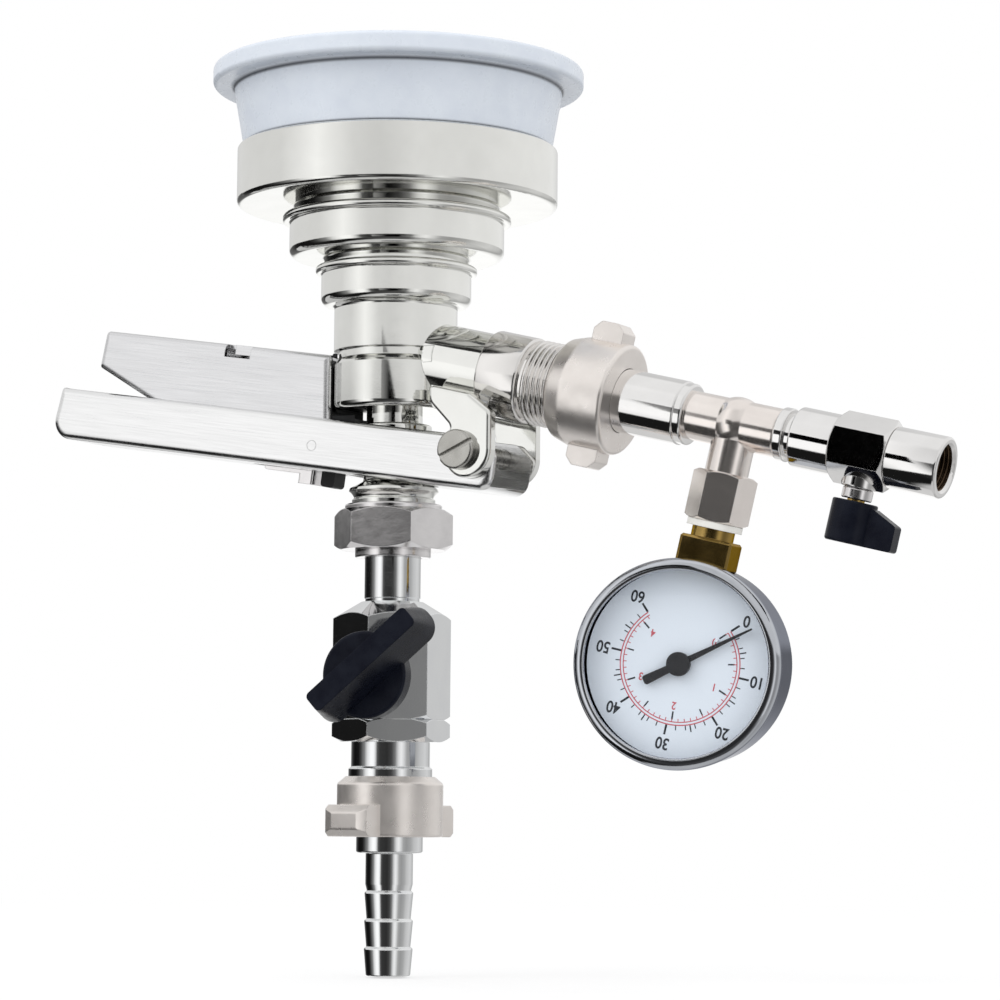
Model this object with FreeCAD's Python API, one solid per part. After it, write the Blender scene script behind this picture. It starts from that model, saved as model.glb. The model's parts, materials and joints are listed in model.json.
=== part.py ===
import FreeCAD, Part
import math
import os

# Keg filling head, in millimetres. The origin is the centre of the mouth of the white centring
# ring, +Z points up into the keg, the gas branch leaves towards +X and the hand lever towards -X.

V = FreeCAD.Vector
ORIGIN = V(0, 0, 0)
X_AXIS = V(1, 0, 0)
Y_AXIS = V(0, 1, 0)
Z_AXIS = V(0, 0, 1)

# Clearances and small rounds
running_gap = 0.05        # radial clearance of a shaft in its bore
slip_gap = 0.15           # radial clearance of a piece that is pushed over another
air_gap = 0.4             # space left between pieces that move past each other
edge_round = 0.6          # ordinary broken edge

# Centring ring and stepped bell
ring_flange_r = 58.5
ring_flange_t = 6.2
ring_wall_top_r = 52.0
ring_wall_low_r = 48.6
ring_height = 25.5
mouth_bore_r = 45.0
spigot_r = 46.2
spigot_h = 8.0
cup_r = 50.5
cup_h = 18.5
cup_bore_r = 43.0
cup_floor_t = 4.5
cup_neck_r = 32.2
cup_neck_h = 2.8
cup_boss_r = 29.0
cup_boss_h = 8.5
throat_r = 26.0
keg_seal_r = 40.0
keg_seal_bore_r = 28.0
keg_seal_t = 3.6
keg_seal_lip_w = 3.0

collar_lip_r = 36.0
collar_band_r = 33.8
lip_h = 2.4               # height of the rolled bead on the collar and on the body
collar_h = 13.6
collar_neck_r = 22.8
collar_neck_h = 2.6
collar_bore_r = 17.5
band_round = 2.6

# Coupler body
body_lip_r = 25.4
body_band_r = 23.6
body_band_h = 12.6
body_r = 19.35
body_h = 33.0             # plain cylinder under the band
body_spigot_r = 20.0
body_spigot_h = 5.0
chamber_r = 15.0
guide_h = 12.4            # length of the probe guide at the foot of the body
body_groove_drop = 15.5   # from the band to the latch groove
body_groove_h = 2.4
body_groove_depth = 1.6
body_rim_round = 2.0
gasket_t = 1.2

# Gas branch: it leaves the axis downwards at this angle, and places on it are
# lengths from the body's axis
branch_tilt = 13.4
branch_drop = 89.8        # depth of the branch axis where it meets the body's axis
boss_r = 12.0
boss_end = 35.4
gas_bore_r = 5.0
boss_socket_r = 8.2
boss_socket_depth = 13.0
port_collar_r = 13.4
port_collar_l = 14.1
port_thread_r = 13.2      # pipe thread 3/4, outside
port_thread_l = 17.0
check_seat_r = 3.2
check_ball_r = 4.0
check_chamber_r = 4.6
check_chamber_l = 15.0
check_lift = 2.0
check_spring_wire_r = 0.35
check_spring_turns = 5
retainer_t = 2.5
retainer_hole_r = 2.6

gas_nut_start = 60.4
gas_nut_l = 20.4
gas_nut_r = 17.0
gas_nut_dome_r = 15.2
gas_nut_lip_t = 4.0
gas_lug_reach = 22.4
gas_lug_l = 10.2
gas_lug_w = 8.8
gas_lug_offset = 7.2      # from the dome end to the lugs
tail_flange_r = 11.8
tail_flange_t = 3.0
tail_r = 9.8
tail_end = 104.0
tail_bead_r = 9.4
tail_bead_l = 2.6

tee_run_r = 7.4
tee_centre = 118.8
tee_end = 133.4
tee_branch_r = 6.6
tee_hex_af = 17.0
tee_hex_start = 15.0
tee_hex_l = 15.0
tee_hex_bore_r = 5.4

mini_ring_r = 8.1
mini_ring_l = 3.0
mini_start = 138.8
mini_barrel_r = 9.2
mini_barrel_l = 13.4
mini_block_af = 18.8
mini_neck_rise = 0.2      # of the stem's neck over the block's corner
mini_block_l = 17.2
mini_mouth_l = 16.4
mini_mouth_bore_r = 6.6   # tapped 1/4 pipe thread, inside
mini_ball_r = 6.2
mini_port_r = 3.6
mini_stem_r = 2.6
mini_gland_r = 4.6
mini_gland_l = 3.4
mini_hub_r = 6.8
mini_hub_h = 12.6
mini_arm = 14.7
mini_arm_w = 5.6
mini_arm_slant = 4.9      # the arm's root rises this much towards its end
mini_hub_gap = 0.5

# Pressure gauge on the tee's branch; lengths are measured along the branch
gauge_r = 31.5
gauge_centre = 73.4       # from the tee's axis to the middle of the dial
gauge_turn = 10.7         # the dial is screwed round this far from the lever's plane
gauge_face_offset = 12.5  # from the stem's axis to the front of the bezel
gauge_depth = 27.0
gauge_skirt_t = 0.9       # metal of the bezel over the case
gauge_wall = 1.2
gauge_bezel_h = 4.2
gauge_lip_w = 3.0
gauge_lip_t = 1.2
window_t = 2.0
dial_gap = 0.9            # between the dial's rim and the case
dial_t = 0.6
dial_depth = 7.4          # from the front of the bezel to the dial
socket_w = 16.0
socket_top = 35.0
socket_stem_r = 4.9
socket_washer_r = 8.4
socket_washer_t = 2.0
needle_len = 24.4
needle_tail = 11.8
needle_w = 2.9
needle_t = 0.8
needle_hub_r = 3.6
needle_angle = 232.0      # clockwise from the top of the dial, at rest against its pin
stop_angle = 6.5          # from the needle's middle to its stop pin
pinion_teeth = 10
sector_teeth = 60         # teeth of the full circle that the sector is a part of
gear_module = 0.4
gear_t = 1.6
sector_count = 11         # teeth that the sector carries
sector_shift = 4          # teeth between the sector's middle and the pinion at rest
movement_foot = -21.9     # edge of the movement's foot, from the dial's middle towards the stem
movement_foot_w = 10.0
movement_head_w = 13.0
movement_head_rise = 4.0  # of the plates over the sector's pin
tube_section_r = 2.0
tube_bend_r = 19.0
tube_start = 194.0        # clockwise from the top of the dial
tube_sweep = 230.0
tube_stub_l = 1.3
socket_foot_w = 12.0
socket_foot_front = -3.4  # from the stem's axis, towards the dial
socket_foot_back = 5.4

# Probe, with the ball valve and hose tail that hang from it
probe_r = 8.8
probe_bore_r = 6.2
probe_top = -30.0
probe_nose_r = 12.5
probe_nose_h = 6.5
probe_seal_t = 3.0
probe_tail = -125.0
oring_section_r = 1.3
spool_top = -112.9
spool_flange_r = 11.7
spool_flange_t = 4.2
spool_clear = 1.8         # left round the spool's flanges by the latch
spool_neck_r = 9.6
flare_r = 14.4
flare_top = -132.9
carrier_neck_r = 12.3
carrier_neck_end = -137.6
carrier_thread_r = 13.1
carrier_thread_l = 5.0

hex_af = 33.0
hex_turn = -46.0          # corner position of the union nut, about the axis
hex_top = -137.9
hex_h = 14.3
nut_collar_r = 15.2       # round collar on top of the union nut
nut_collar_h = 1.7
nut_skirt_r = 11.9
nut_skirt_h = 2.4
nipple_flange_r = 12.6
nipple_flange_t = 3.0
washer_t = 1.5
nipple_r = 8.8
nipple_foot_r = 8.5
nipple_foot_h = 1.0

valve_af = 32.0
valve_turn = -26.0
valve_top = -168.4
valve_h = 43.6
valve_crown_r = 9.8       # the hexagon's top is turned to a cone that ends at this radius
valve_crown_h = 5.3
valve_boss_proud = 0.35   # of the stem's boss over the hexagon's corner
valve_split = 7.0         # the end piece takes this much of the hexagon's foot
valve_ball_r = 11.0
valve_port_r = 6.4
valve_seat_r = 9.6
valve_seat_t = 2.2
valve_stem_r = 4.0
valve_centre = -192.0
gland_r = 7.6
gland_l = 3.2
stem_turn = 8.0           # the stem points this far round from the front, towards the gas branch
handle_hub_r = 13.4
handle_hub_h = 6.4
handle_skirt_r = 10.4
handle_skirt_h = 4.0
handle_wing_h = 15.4
handle_arm = 27.7
handle_tail = 18.5
handle_foot_w = 12.0
handle_ridge_w = 6.6
handle_ridge_in = 4.0     # the ridge is this much shorter than the foot at the short end
handle_angle = 41.0       # above the horizontal, as found: half open
handle_nut_r = 3.4
handle_nut_t = 2.4

outlet_neck_r = 12.3
outlet_neck_h = 8.2
outlet_thread_r = 13.1
outlet_thread_l = 11.0
hose_nut_r = 16.5
hose_nut_top = -222.6
hose_nut_h = 18.6
hose_nut_lip_t = 3.6
hose_lug_reach = 21.4
hose_lug_w = 17.0
hose_lug_h = 9.8
hose_lug_turn = -104.0
hose_collar_r = 10.4
hose_collar_h = 5.0
barb_root_r = 6.9
barb_tip_r = 7.6
barb_plain_r = 7.4
barb_bore_r = 5.0
barb_pitch = 8.6
barb_count = 3
barb_end = -284.0

# Hand lever: a pressed channel, open upwards, on the pivot between the two ears of the body
pivot_x = 31.7
pivot_z = -123.5
lever_tilt = 8.3          # the hand end stands this much higher than the pivot end
lever_w = 28.0
lever_t = 1.6
lever_bend_r = 2.6
lever_h = 16.6
lever_left = -151.4       # from the pivot, along the lever
lever_right = 10.4
lever_below = 11.4        # from the pivot down to the underside of the web
lever_end_r = 6.0
lever_heel_h = 12.0       # height left at the end past the pivot
lever_heel_r = 5.0
lever_brow_x = 4.6        # where the sides' top edge falls away, past the pivot
web_hole_left = 15.2      # from the probe's axis towards the hand
web_hole_right = 12.4
ear_r = 8.5
ear_shift = 2.0           # of the ear's round end past the pivot
ear_t = 4.0
ear_gap = 0.5
ear_root_left = 10.5      # from the pivot towards the body
ear_root_right = 3.0      # from the pivot, where the ear's top edge ends beside the port collar
ear_root_drop = 8.0       # of the ear's top edge under the branch axis
ear_neck_x = -3.2         # waist of the ear over the screw, from the pivot
ear_neck_up = 7.6
ear_brow_up = 11.5        # of the ear's outer shoulder over the pivot
ear_left_round = 6.8
ear_round = 1.2
fork_web_t = 7.2          # of the root that joins both ears under the boss
pivot_pin_r = 3.0
screw_head_r = 6.1
screw_head_t = 3.0
screw_slot_w = 1.6
screw_slot_d = 1.4
screw_slot_turn = 25.0
pivot_nut_af = 10.0
pivot_nut_t = 4.0
roller_r = 2.8
roller_rise = 3.0         # of the rollers above the pivot
roller_reach = 2.4
roller_pin_r = 1.7
roller_pin_l = 0.8        # of the rollers' pins into the lever's sides
web_hole_round = 7.0
latch_slot_x0 = -55.8
latch_slot_x1 = -48.4
latch_slot_w = 8.4
latch_slot_round = 1.5
view_slot_x0 = -81.0
view_slot_x1 = -67.0
view_slot_w = 9.0
view_slot_round = 4.4

# Squeeze lever: a channel open downwards, nested in the hand lever, with the latch in its end
squeeze_w = 24.0
squeeze_t = 1.4
squeeze_bend_r = 2.2
squeeze_left = -136.6     # from the pivot, along the lever
squeeze_right = -52.8
squeeze_rake = 4.7        # the end stands upright: it runs this far out at its foot
squeeze_notch_x = 45.8    # from the left end to the notch in the top edge
squeeze_notch_l = 9.3
squeeze_notch_h = 4.2
squeeze_notch_w = 4.0
squeeze_tab_l = 6.4       # tab left standing in the notch
squeeze_tab_h = 1.7
squeeze_top = 36.5        # above the lever's underside
squeeze_low = 13.4
squeeze_nose_h = 12.0     # height left at the tip, where the underside is cut off
squeeze_nose_l = 22.0
latch_pin_x = -53.6
latch_pin_up = 7.4
latch_pin_r = 1.6
latch_pin_boss = 3.4      # metal kept round the pin hole
latch_clear = 0.4
latch_w = 20.8
latch_under = 1.7         # gap between the body's foot and the latch below it
latch_right = -39.5
latch_step_x = -46.5      # right of this the latch keeps clear of the spool's lower flange
latch_step_up = 13.0
latch_foot_w = 7.0
latch_foot_x0 = -54.4
latch_foot_x1 = -49.6
latch_foot_drop = 4.6
tooth_reach = 1.1
tooth_h = 1.4
nose_rise = 0.6           # of the latch's nose over the squeeze lever's top
anchor_x0 = -62.8
anchor_x1 = -57.4
anchor_w = 7.0
anchor_drop = 4.4
anchor_pin_r = 1.5
anchor_tongue_l = 12.5    # leaf that runs from the anchor towards the hand
anchor_tongue_t = 1.3
squeeze_spring_r = 3.0
squeeze_spring_wire_r = 0.45
squeeze_spring_turns = 4
squeeze_spring_x = -91.6  # from the pivot, along the lever

# Places worked out from the sizes above
cup_top = -ring_height
cup_low = cup_top - cup_h
collar_top = cup_low - cup_neck_h
collar_low = collar_top - collar_h
body_top = collar_low - collar_neck_h
band_low = body_top - body_band_h
body_low = band_low - body_h
groove_z = band_low - body_groove_drop
guide_top = body_low + guide_h
roller_z = pivot_z + roller_rise
lever_inner = lever_w / 2 - lever_t
port_end = boss_end + port_collar_l + port_thread_l
nipple_top = carrier_neck_end - carrier_thread_l - washer_t
valve_low = valve_top - valve_h
neck_low = valve_low - outlet_neck_h
outlet_low = neck_low - outlet_thread_l
pinion_r = gear_module * pinion_teeth / 2
sector_r = gear_module * sector_teeth / 2
gauge_case_r = gauge_r - gauge_skirt_t
dial_r = gauge_case_r - gauge_wall - dial_gap
ear_end_x = pivot_x + ear_shift + ear_r


def outline(corners):
    """Closed wire in the XZ plane through (x, z, radius) corners, rounded by tangent arcs."""
    count = len(corners)
    starts, ends, middles = [], [], []
    for i, (x, z, radius) in enumerate(corners):
        here = V(x, 0, z)
        before = V(corners[i - 1][0], 0, corners[i - 1][1]) - here
        after = V(corners[(i + 1) % count][0], 0, corners[(i + 1) % count][1]) - here
        before.normalize()
        after.normalize()
        if radius <= 0:
            starts.append(here)
            ends.append(here)
            middles.append(None)
            continue
        half = before.getAngle(after) / 2
        reach = radius / math.tan(half)
        bisector = before + after
        bisector.normalize()
        centre = here + bisector * (radius / math.sin(half))
        starts.append(here + before * reach)
        ends.append(here + after * reach)
        middles.append(centre - bisector * radius)
    edges = []
    for i in range(count):
        if middles[i] is not None:
            edges.append(Part.Arc(starts[i], middles[i], ends[i]).toShape())
        following = starts[(i + 1) % count]
        if (following - ends[i]).Length > 1e-6:
            edges.append(Part.LineSegment(ends[i], following).toShape())
    return Part.Wire(edges)


def turned(corners):
    """Solid of revolution about Z of an outline whose first coordinate is the radius."""
    return Part.Face(outline(corners)).revolve(ORIGIN, Z_AXIS, 360)


def plate(corners, y_low, y_high):
    """Outline in the XZ plane carried from y_low to y_high."""
    face = Part.Face(outline(corners))
    face.translate(V(0, y_low, 0))
    return face.extrude(V(0, y_high - y_low, 0))


def tube(outer, inner, z_low, z_high):
    """Plain ring between two heights."""
    return turned([(inner, z_low, 0), (outer, z_low, 0), (outer, z_high, 0), (inner, z_high, 0)])


def rod(radius, z_low, z_high):
    """Plain cylinder between two heights."""
    return Part.makeCylinder(radius, z_high - z_low, V(0, 0, z_low))


def hexagon(across_flats, z_low, z_high, turn):
    """Hexagonal bar with turned chamfers at both ends; turn places a corner."""
    corner_r = across_flats / math.sqrt(3)
    points = []
    for i in range(7):
        angle = math.radians(turn + 60 * i)
        points.append(V(corner_r * math.cos(angle), corner_r * math.sin(angle), z_low))
    bar = Part.Face(Part.makePolygon(points)).extrude(V(0, 0, z_high - z_low))
    fall = (corner_r - across_flats / 2) * 0.7
    flat_r = across_flats / 2 - 0.2
    over = corner_r + 0.5
    drop = fall * (over - flat_r) / (corner_r - flat_r)
    cone = turned([(0, z_low, 0), (flat_r, z_low, 0), (over, z_low + drop, 0),
                   (over, z_high - drop, 0), (flat_r, z_high, 0), (0, z_high, 0)])
    return bar.common(cone)


def along_y(shape):
    """Turn a piece built along +Z so that it points to -Y, towards the front."""
    turned_piece = shape.copy()
    turned_piece.rotate(ORIGIN, X_AXIS, 90)
    return turned_piece


def on_branch(shape):
    """Lay a piece built along +Z on the gas branch, with z as the length from the body's axis."""
    laid = shape.copy()
    laid.rotate(ORIGIN, Y_AXIS, 90 + branch_tilt)
    laid.translate(V(0, 0, -branch_drop))
    return laid


def under_branch(shape, place):
    """Hang a piece built along -Z from the gas branch at a length from the body's axis."""
    hung = shape.copy()
    hung.rotate(ORIGIN, Y_AXIS, branch_tilt)
    tilt = math.radians(branch_tilt)
    hung.translate(V(place * math.cos(tilt), 0, -branch_drop - place * math.sin(tilt)))
    return hung


def on_lever(shape):
    """Put a piece built in the hand lever's own frame, pivot at the origin, in its place."""
    laid = shape.copy()
    laid.rotate(ORIGIN, Y_AXIS, lever_tilt)
    laid.translate(V(pivot_x, 0, pivot_z))
    return laid


def on_gauge(shape):
    """Place a gauge piece built with the dial's front at y = 0, facing -Y, and the stem down."""
    placed = shape.copy()
    placed.translate(V(0, -gauge_face_offset, 0))
    placed.rotate(ORIGIN, Y_AXIS, 180)
    placed.rotate(ORIGIN, Z_AXIS, gauge_turn)
    placed.translate(V(0, 0, -gauge_centre))
    return under_branch(placed, tee_centre)


def disc(radius, y_front, y_back):
    """Cylinder along Y between two depths of the gauge."""
    return Part.makeCylinder(radius, y_back - y_front, V(0, y_front, 0), Y_AXIS)


def dial_point(radius, clockwise, depth):
    """Point on the dial, at an angle clockwise from its top."""
    angle = math.radians(clockwise)
    return V(radius * math.sin(angle), depth, radius * math.cos(angle))


def helix_spring(radius, wire_r, turns, length):
    """Open coil spring along +Z, its wire swept on a helix."""
    path = Part.makeHelix(length / turns, length, radius)
    section = Part.Wire(Part.makeCircle(wire_r, V(radius, 0, 0), Y_AXIS))
    return Part.Wire(path).makePipeShell([section], True, True)


def make_centring_ring():
    """White plastic ring that finds the keg's neck: flange above, tapered skirt below."""
    inner_step = spigot_r + slip_gap
    return turned([
        (mouth_bore_r, 0, 0), (ring_flange_r, 0, 1.4),
        (ring_flange_r, -ring_flange_t, 1.4), (ring_wall_top_r, -ring_flange_t, 1.6),
        (ring_wall_low_r, -ring_height, 0.5), (inner_step, -ring_height, 0),
        (inner_step, -ring_height + spigot_h, 0), (mouth_bore_r, -ring_height + spigot_h, 0.3)])


def make_keg_cup():
    """First step of the bell: the ring's spigot above, the screwed boss below."""
    floor_top = cup_low + cup_floor_t
    boss_low = collar_top - cup_boss_h
    spigot_top = cup_top + spigot_h - slip_gap
    return turned([
        (cup_bore_r, spigot_top, 0.4), (spigot_r, spigot_top, 0.4), (spigot_r, cup_top, 0),
        (cup_r, cup_top, 1.0), (cup_r, cup_low, 1.6), (cup_neck_r, cup_low, 0.8),
        (cup_neck_r, collar_top, 0), (cup_boss_r, collar_top, 0), (cup_boss_r, boss_low, 0.6),
        (throat_r, boss_low, 0.6), (throat_r, floor_top, 0.4), (cup_bore_r, floor_top, 1.5)])


def make_keg_seal():
    """Rubber ring on the cup's floor, with a raised lip that meets the keg's neck."""
    low = cup_low + cup_floor_t
    high = low + keg_seal_t
    lip_low = high - keg_seal_t / 3
    return turned([
        (keg_seal_bore_r, low, 0), (keg_seal_r, low, 0), (keg_seal_r, high, 0.8),
        (keg_seal_r - keg_seal_lip_w, high, 0.8), (keg_seal_r - keg_seal_lip_w - 1.5, lip_low, 0.4),
        (keg_seal_bore_r, lip_low, 0.4)])


def make_step_collar():
    """Second step of the bell: rolled bead, plain band, and the neck down to the body."""
    socket_low = collar_top - cup_boss_h - slip_gap
    foot_socket = collar_low - collar_neck_h + body_spigot_h + gasket_t
    return turned([
        (cup_boss_r + slip_gap, collar_top, 0), (collar_lip_r, collar_top, 0.9),
        (collar_lip_r, collar_top - lip_h, 0.9), (collar_band_r, collar_top - lip_h, 0.4),
        (collar_band_r, collar_low, band_round), (collar_neck_r, collar_low, 0.8),
        (collar_neck_r, body_top, 0), (body_spigot_r + slip_gap, body_top, 0),
        (body_spigot_r + slip_gap, foot_socket, 0), (collar_bore_r, foot_socket, 0),
        (collar_bore_r, socket_low, 0), (cup_boss_r + slip_gap, socket_low, 0)])


def make_body_gasket():
    """Flat ring clamped between the body's spigot and the step collar."""
    low = body_top + body_spigot_h
    return tube(body_spigot_r - slip_gap, collar_bore_r, low, low + gasket_t)


def branch_under(x, drop):
    """Height at x of a line that runs below the branch axis by this drop."""
    return -branch_drop - x * math.tan(math.radians(branch_tilt)) - drop


def ear_plate(side):
    """One ear of the pivot fork: waisted over the screw, round at its end, with soft outer edges."""
    y_in = lever_w / 2 + ear_gap
    y_out = y_in + ear_t
    left = pivot_x - ear_root_left
    right = pivot_x + ear_root_right
    end_left = ear_end_x - 2 * ear_r
    corners = [
        (left, branch_under(left, ear_root_drop), 1.5), (left, body_low + 0.5, 4),
        (pivot_x + ear_neck_x, pivot_z + ear_neck_up, 2.5), (end_left, pivot_z - ear_r, ear_left_round),
        (ear_end_x, pivot_z - ear_r, ear_r - 0.2), (ear_end_x, pivot_z + ear_brow_up, 2.5),
        (right, branch_under(right, ear_root_drop), 2.0)]
    ear = plate(corners, y_in, y_out)
    outer = [e for e in ear.Edges if e.BoundBox.YMin > y_out - 1e-3]
    ear = ear.makeFillet(ear_round, outer)
    if side < 0:
        ear = ear.mirror(ORIGIN, Y_AXIS)
    return ear


def fork_root():
    """Block under the gas boss that joins both ears to it, above the lever."""
    y_out = lever_w / 2 + ear_gap + ear_t / 2
    left = pivot_x - ear_root_left
    right = pivot_x + ear_root_right
    low = ear_root_drop + fork_web_t
    return plate([(left, branch_under(left, ear_root_drop), 0), (left, branch_under(left, low), 2),
                  (right, branch_under(right, low), 2), (right, branch_under(right, ear_root_drop), 0)], -y_out, y_out)


def latch_groove_cut():
    """Groove round the body for the latch: its lower flank slopes out along the latch's path."""
    floor_r = body_r - body_groove_depth
    top = groove_z + body_groove_h / 2
    low = groove_z - body_groove_h / 2
    run_out = body_groove_depth * 1.7
    return turned([(floor_r, top, 0.3), (floor_r, low, 0.3), (body_r + 0.5, low - run_out, 0),
                   (body_r + 3, low - run_out, 0), (body_r + 3, top, 0)])


def make_body():
    """Coupler body: third step, cylinder, gas boss and pivot fork in one forging."""
    outside = turned([
        (0, body_top + body_spigot_h, 0), (body_spigot_r, body_top + body_spigot_h, 0.4),
        (body_spigot_r, body_top, 0), (body_lip_r, body_top, 0.9),
        (body_lip_r, body_top - lip_h, 0.9), (body_band_r, body_top - lip_h, 0.4),
        (body_band_r, band_low, band_round), (body_r, band_low, 1.0),
        (body_r, body_low, body_rim_round), (0, body_low, 0)])
    boss = on_branch(rod(boss_r, 0, boss_end))
    solid = outside.fuse([boss, fork_root(), ear_plate(-1), ear_plate(1)])
    chamber = rod(chamber_r, guide_top, body_top + body_spigot_h + 1)
    guide = rod(probe_r + running_gap, body_low - 1, guide_top + 1)
    gas_way = on_branch(rod(gas_bore_r, 0, boss_end + 1))
    socket = on_branch(rod(boss_socket_r, boss_end - boss_socket_depth, boss_end + 1))
    collar_room = on_branch(rod(port_collar_r + slip_gap, boss_end, port_end))
    reach = lever_w / 2 + ear_gap + ear_t + 1
    pin_hole = Part.makeCylinder(pivot_pin_r + running_gap, 2 * reach, V(pivot_x, -reach, pivot_z), Y_AXIS)
    cuts = [chamber, guide, gas_way, socket, collar_room, pin_hole, latch_groove_cut()]
    for z in oring_places():
        cuts.append(tube(probe_r + 2 * oring_section_r, probe_r, z - oring_section_r, z + oring_section_r))
    return solid.cut(cuts).removeSplitter()


def oring_places():
    """Heights of the two probe rings in the guide."""
    return (body_low + guide_h * 0.34, body_low + guide_h * 0.7)


def make_probe_o_rings():
    """Two rubber rings in the guide, one group."""
    rings = []
    for z in oring_places():
        rings.append(Part.makeTorus(probe_r + oring_section_r + 0.05, oring_section_r - 0.08, V(0, 0, z)))
    return Part.makeCompound(rings)


def make_port_nipple():
    """Gas inlet nipple: spigot in the boss, collar, male thread, and the check valve's chamber."""
    start = boss_end - boss_socket_depth + 1
    thread_start = boss_end + port_collar_l
    chamber_start = port_end - check_chamber_l
    profile = turned([
        (gas_bore_r, start, 0), (boss_socket_r - slip_gap, start, 0.5),
        (boss_socket_r - slip_gap, boss_end, 0), (port_collar_r, boss_end, 0.8),
        (port_collar_r, thread_start, 0.8), (port_thread_r - 1.4, thread_start, 0),
        (port_thread_r - 1.4, thread_start + 1.6, 0), (port_thread_r, thread_start + 2.6, 0),
        (port_thread_r, port_end, 1.0), (check_chamber_r, port_end, 0),
        (check_chamber_r, chamber_start, 0), (gas_bore_r - 2.6, chamber_start - 3, 0),
        (gas_bore_r - 2.6, chamber_start - 8, 0), (gas_bore_r, chamber_start - 11, 0)])
    return on_branch(profile)


def make_check_retainer():
    """Drilled plug that holds the check ball in its chamber, and is its seat from outside."""
    low = port_end - retainer_t
    profile = turned([(retainer_hole_r, low, 0), (check_chamber_r - running_gap, low, 0),
                      (check_chamber_r - running_gap, port_end, 0.3), (retainer_hole_r, port_end, 0.3)])
    return on_branch(profile)


def check_ball_place():
    """Length on the branch where the check ball touches its drilled seat."""
    lean = math.sqrt(check_ball_r ** 2 - retainer_hole_r ** 2)
    return port_end - retainer_t - lean - 0.05


def make_check_ball():
    """Ball that gas from the branch lifts off its seat, against the spring."""
    return on_branch(Part.makeSphere(check_ball_r, V(0, 0, check_ball_place())))


def make_check_spring():
    """Light coil spring between the chamber's floor and the check ball."""
    start = port_end - check_chamber_l + 0.8
    end = check_ball_place() - check_ball_r * 0.9
    spring = helix_spring(check_ball_r * 0.62, check_spring_wire_r, check_spring_turns, end - start)
    spring.translate(V(0, 0, start))
    return on_branch(spring)


def make_gas_washer():
    """Flat washer between the port's thread and the tailpiece's flange."""
    return on_branch(tube(port_thread_r - 1.8, gas_bore_r, port_end + 0.02, port_end + washer_t))


def lug_pair(reach, width, length, z_low):
    """Two square ears of a hand nut, opposite each other along X, with broken corners."""
    chamfer = 2.4
    base = z_low
    tip = z_low + length
    ear = plate([(-reach, base + chamfer, 1.2), (-reach, tip - chamfer, 1.2), (-reach + chamfer, tip, 0.8),
                 (reach - chamfer, tip, 0.8), (reach, tip - chamfer, 1.2), (reach, base + chamfer, 1.2),
                 (reach - chamfer, base, 0.8), (-reach + chamfer, base, 0.8)], -width / 2, width / 2)
    return ear.common(rod(reach + 0.6, base, tip))


def make_gas_wing_nut():
    """Hand nut of the gas side: domed back, square ears, thread clearance and captive lip."""
    end = gas_nut_start + gas_nut_l
    outside = turned([
        (0, gas_nut_start, 0), (gas_nut_dome_r, gas_nut_start, 2.4), (gas_nut_r, gas_nut_start + 6, 4),
        (gas_nut_r, end, 1.2), (0, end, 0)])
    ears = lug_pair(gas_lug_reach, gas_lug_w, gas_lug_l, gas_nut_start + gas_lug_offset)
    # The gas nut is turned so that its ears stand above and below the branch
    lip = end - gas_nut_lip_t
    cavity = turned([(0, gas_nut_start - 1, 0), (port_thread_r + slip_gap, gas_nut_start - 1, 0),
                     (port_thread_r + slip_gap, lip, 0), (0, lip, 0)])
    mouth = rod(tail_r + slip_gap, lip - 1, end + 1)
    return on_branch(outside.fuse(ears).cut([cavity, mouth]).removeSplitter())


def make_gas_tailpiece():
    """Flanged tube from the hand nut to the tee, with the small bead at its end."""
    start = port_end + washer_t + 0.02
    bead_start = tail_end - tail_bead_l
    profile = turned([
        (gas_bore_r, start, 0), (tail_flange_r, start, 0.4), (tail_flange_r, start + tail_flange_t, 0.4),
        (tail_r, start + tail_flange_t, 0), (tail_r, bead_start, 0.5),
        (tail_bead_r, bead_start, 0), (tail_bead_r, tail_end, 0.8),
        (tee_run_r - 2.2, tail_end, 0), (tee_run_r - 2.2, tail_end - 9, 0), (gas_bore_r, tail_end - 9, 0)])
    return on_branch(profile)


def make_tee():
    """Tee: run along the branch, neck down to the hexagonal gauge socket."""
    spigot_start = tail_end - 8.5
    run = turned([(0, spigot_start, 0), (tee_run_r - 2.4, spigot_start, 0.4), (tee_run_r - 2.4, tail_end, 0),
                  (tee_run_r, tail_end, 0), (tee_run_r, tee_end, 0.6), (0, tee_end, 0)])
    neck = turned([(0, 0, 0), (tee_branch_r, 0, 0), (tee_branch_r, -tee_hex_start, 0), (0, -tee_hex_start, 0)])
    low = -tee_hex_start - tee_hex_l
    socket = hexagon(tee_hex_af, low, -tee_hex_start, 30 - branch_tilt)
    branch = under_branch(neck.fuse(socket), tee_centre)
    swell = on_branch(Part.makeSphere(tee_run_r + 0.9, V(0, 0, tee_centre)))
    solid = on_branch(run).fuse([branch, swell])
    bore = on_branch(rod(gas_bore_r - 1.4, spigot_start - 1, tee_end + 1))
    drop = under_branch(rod(gas_bore_r - 1.6, low - 1, 0), tee_centre)
    tapping = under_branch(rod(tee_hex_bore_r, low - 1, low + tee_hex_l - 2), tee_centre)
    mouth = on_branch(rod(mini_spigot_r() + slip_gap, tee_end - 7, tee_end + 1))
    return solid.cut([bore, drop, tapping, mouth]).removeSplitter()


def mini_spigot_r():
    """Radius of the small valve's spigot in the tee."""
    return tee_run_r - 2.0


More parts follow.
